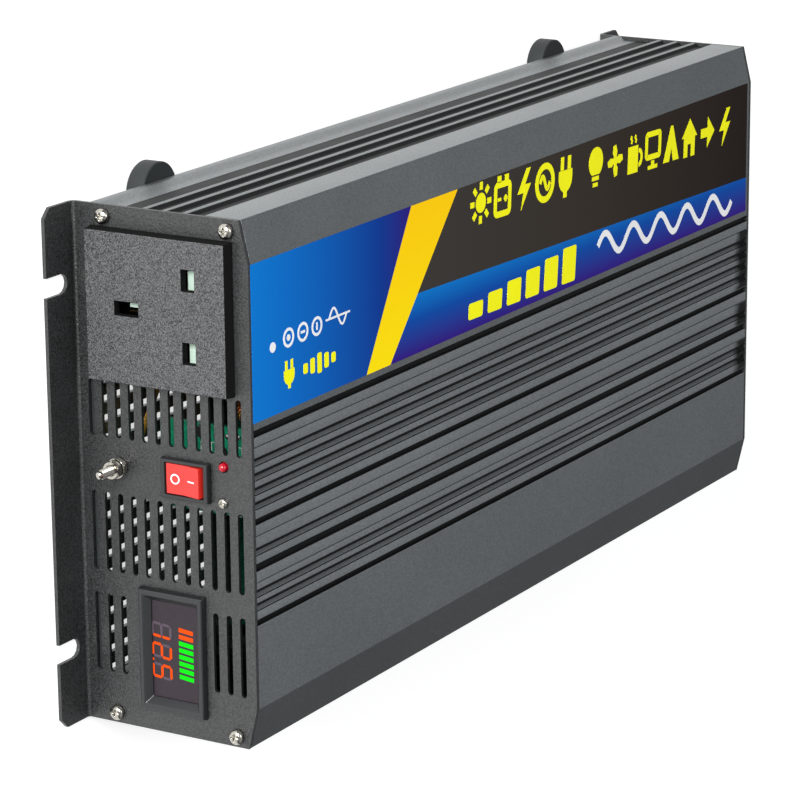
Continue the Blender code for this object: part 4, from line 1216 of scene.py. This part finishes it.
def transformers():
    """Ferrite cores around taped windings."""
    for node in ("front_transformer", "rear_transformer"):
        low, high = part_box(node)
        centre, size = (low + high) / 2, high - low
        arm = size.y * 0.18

        def slab(bm, width, depth, radius, bottom, top):
            outline = rounded(centre.x, centre.y, width, depth, radius)
            add_prism(bm, outline, "Z", bottom, top)

        core, winding, rim = bmesh.new(), bmesh.new(), bmesh.new()
        for bottom in (low.z + 0.0016, high.z - arm):
            slab(core, size.x, size.y * 0.52, 0.0015, bottom, bottom + arm)
        for side in (-1, 1):
            x = centre.x + side * (size.x / 2 - 0.0035)
            add_box(core, (x - 0.0035, centre.y - size.y * 0.26, low.z + 0.002),
                    (x + 0.0035, centre.y + size.y * 0.26, high.z - 0.0005))
        slab(winding, size.x - 0.015, size.y - 0.002, 0.006, low.z + arm + 0.0022,
             high.z - arm - 0.0006)
        for bottom in (low.z + arm + 0.0018, high.z - arm - 0.0014):
            slab(rim, size.x - 0.0145, size.y, 0.003, bottom, bottom + 0.0011)
        ease(piece(f"{node}_core", core, ferrite, "case", (node,)), 0.0004)
        ease(piece(f"{node}_winding", winding, tape), 0.0006)
        ease(piece(f"{node}_bobbin", rim, satin_black), 0.0002)


def capacitors():
    """Cans with a grooved shoulder, a sunken top and a plain stripe down the sleeve."""
    for kind in ("bus", "input"):
        for side in ("left", "right"):
            node = f"{kind}_capacitor_{side}"
            low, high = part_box(node)
            x, y, _ = middle_of(node)
            r, tall = (high.x - low.x) / 2, high.z - low.z
            can = [(0, 0), (0, r - 0.0008), (0.0008, r), (0.0026, r), (0.0032, r - 0.0007),
                   (0.0038, r), (tall - 0.0012, r), (tall - 0.0004, r - 0.0004),
                   (tall, r - 0.0012), (tall, r - 0.0020)]
            top = [(tall, r - 0.0020), (tall - 0.0006, r - 0.0024), (tall - 0.0006, 0)]
            bm = bmesh.new()
            add_turned(bm, can, (x, y, low.z), "Z", 40)
            add_turned(bm, top, (x, y, low.z), "Z", 40, 1)
            for face in bm.faces:
                spot = face.calc_center_median()
                angle = math.degrees(math.atan2(spot.y - y, spot.x - x))
                if face.material_index == 0 and 100 < angle < 150:
                    face.material_index = 2
            piece(f"{node}_can", bm, (sleeve, bare_aluminium, ivory), "case", (node,), 40)


def heat_bars():
    """Clamp bars with their power transistors, and the battery terminals' copper bars."""
    for side, inward in (("left", 1), ("right", -1)):
        node = f"heat_bar_{side}"
        eased(node, 0.0004, bare_aluminium)
        low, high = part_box(node)
        x = (high.x if inward > 0 else low.x) + inward * 0.0024
        cases, legs = bmesh.new(), bmesh.new()
        for i in range(8):
            y = low.y + 0.014 + i * 0.0203
            add_prism(cases, rectangle(x, y, 0.0044, 0.0154), "Z", 0.0185, 0.0345)
            for k in (-1, 0, 1):
                leg = rectangle(x, y + k * 0.0052, 0.0008, 0.0010)
                add_prism(legs, leg, "Z", 0.0147, 0.0187)
        ease(piece(f"{node}_transistors", cases, satin_black), 0.0003)
        piece(f"{node}_legs", legs, solder)
    for name in ("positive", "negative"):
        eased(f"{name}_busbar", 0.0003, copper)


def wires():
    """Short leads between the boards and the socket panel: radius and knots in millimetres."""
    routes = (
        ("lead_outlet_line", wire_red, 1.1, (
            (-40.8, -146.6, 44.0), (-33.0, -140.0, 40.0), (-26.0, -142.0, 30.0),
            (-24.5, -140.0, 19.0), (-30.0, -125.0, 16.5), (-30.0, -108.0, 16.0))),
        ("lead_outlet_neutral", wire_black, 1.1, (
            (-63.0, -146.6, 44.0), (-60.0, -138.0, 38.0), (-56.0, -128.0, 24.0),
            (-50.0, -108.0, 16.0))),
        ("lead_outlet_earth", gold_wire, 1.0, (
            (-51.9, -146.6, 22.2), (-40.0, -142.0, 18.0), (-20.0, -150.0, 15.0),
            (-5.0, -162.0, 15.5), (-2.0, -167.0, 16.3))),
        ("lead_coil_out", wire_red, 1.2, (
            (-12.0, -99.0, 50.0), (-15.0, -115.0, 54.0), (-19.0, -135.0, 54.5),
            (-22.0, -148.0, 50.0), (-30.0, -144.0, 44.0))),
    )
    for name, finish, radius, knots in routes:
        curve_tube(name, smooth_route([Vector(k) * MM for k in knots]), radius * MM, finish)


def smooth_route(knots, steps=8):
    """A smooth curve through the knots."""
    padded = [2 * knots[0] - knots[1]] + knots + [2 * knots[-1] - knots[-2]]
    points = []
    for a, b, c, d in zip(padded, padded[1:], padded[2:], padded[3:]):
        for i in range(steps):
            t = i / steps
            points.append(0.5 * (2 * b + (c - a) * t + (2 * a - 5 * b + 4 * c - d) * t ** 2
                                 + (3 * b - a - 3 * c + d) * t ** 3))
    return points + [knots[-1]]


camera()
studio()
shell()
panels()
panel_screws()
feet()
label()
label_signs()
outlet()
switch()
meter()
lamp()
earth_terminal()
battery_terminals()
polarity_marks()
fans()
boards()
coils()
transformers()
capacitors()
heat_bars()
wires()
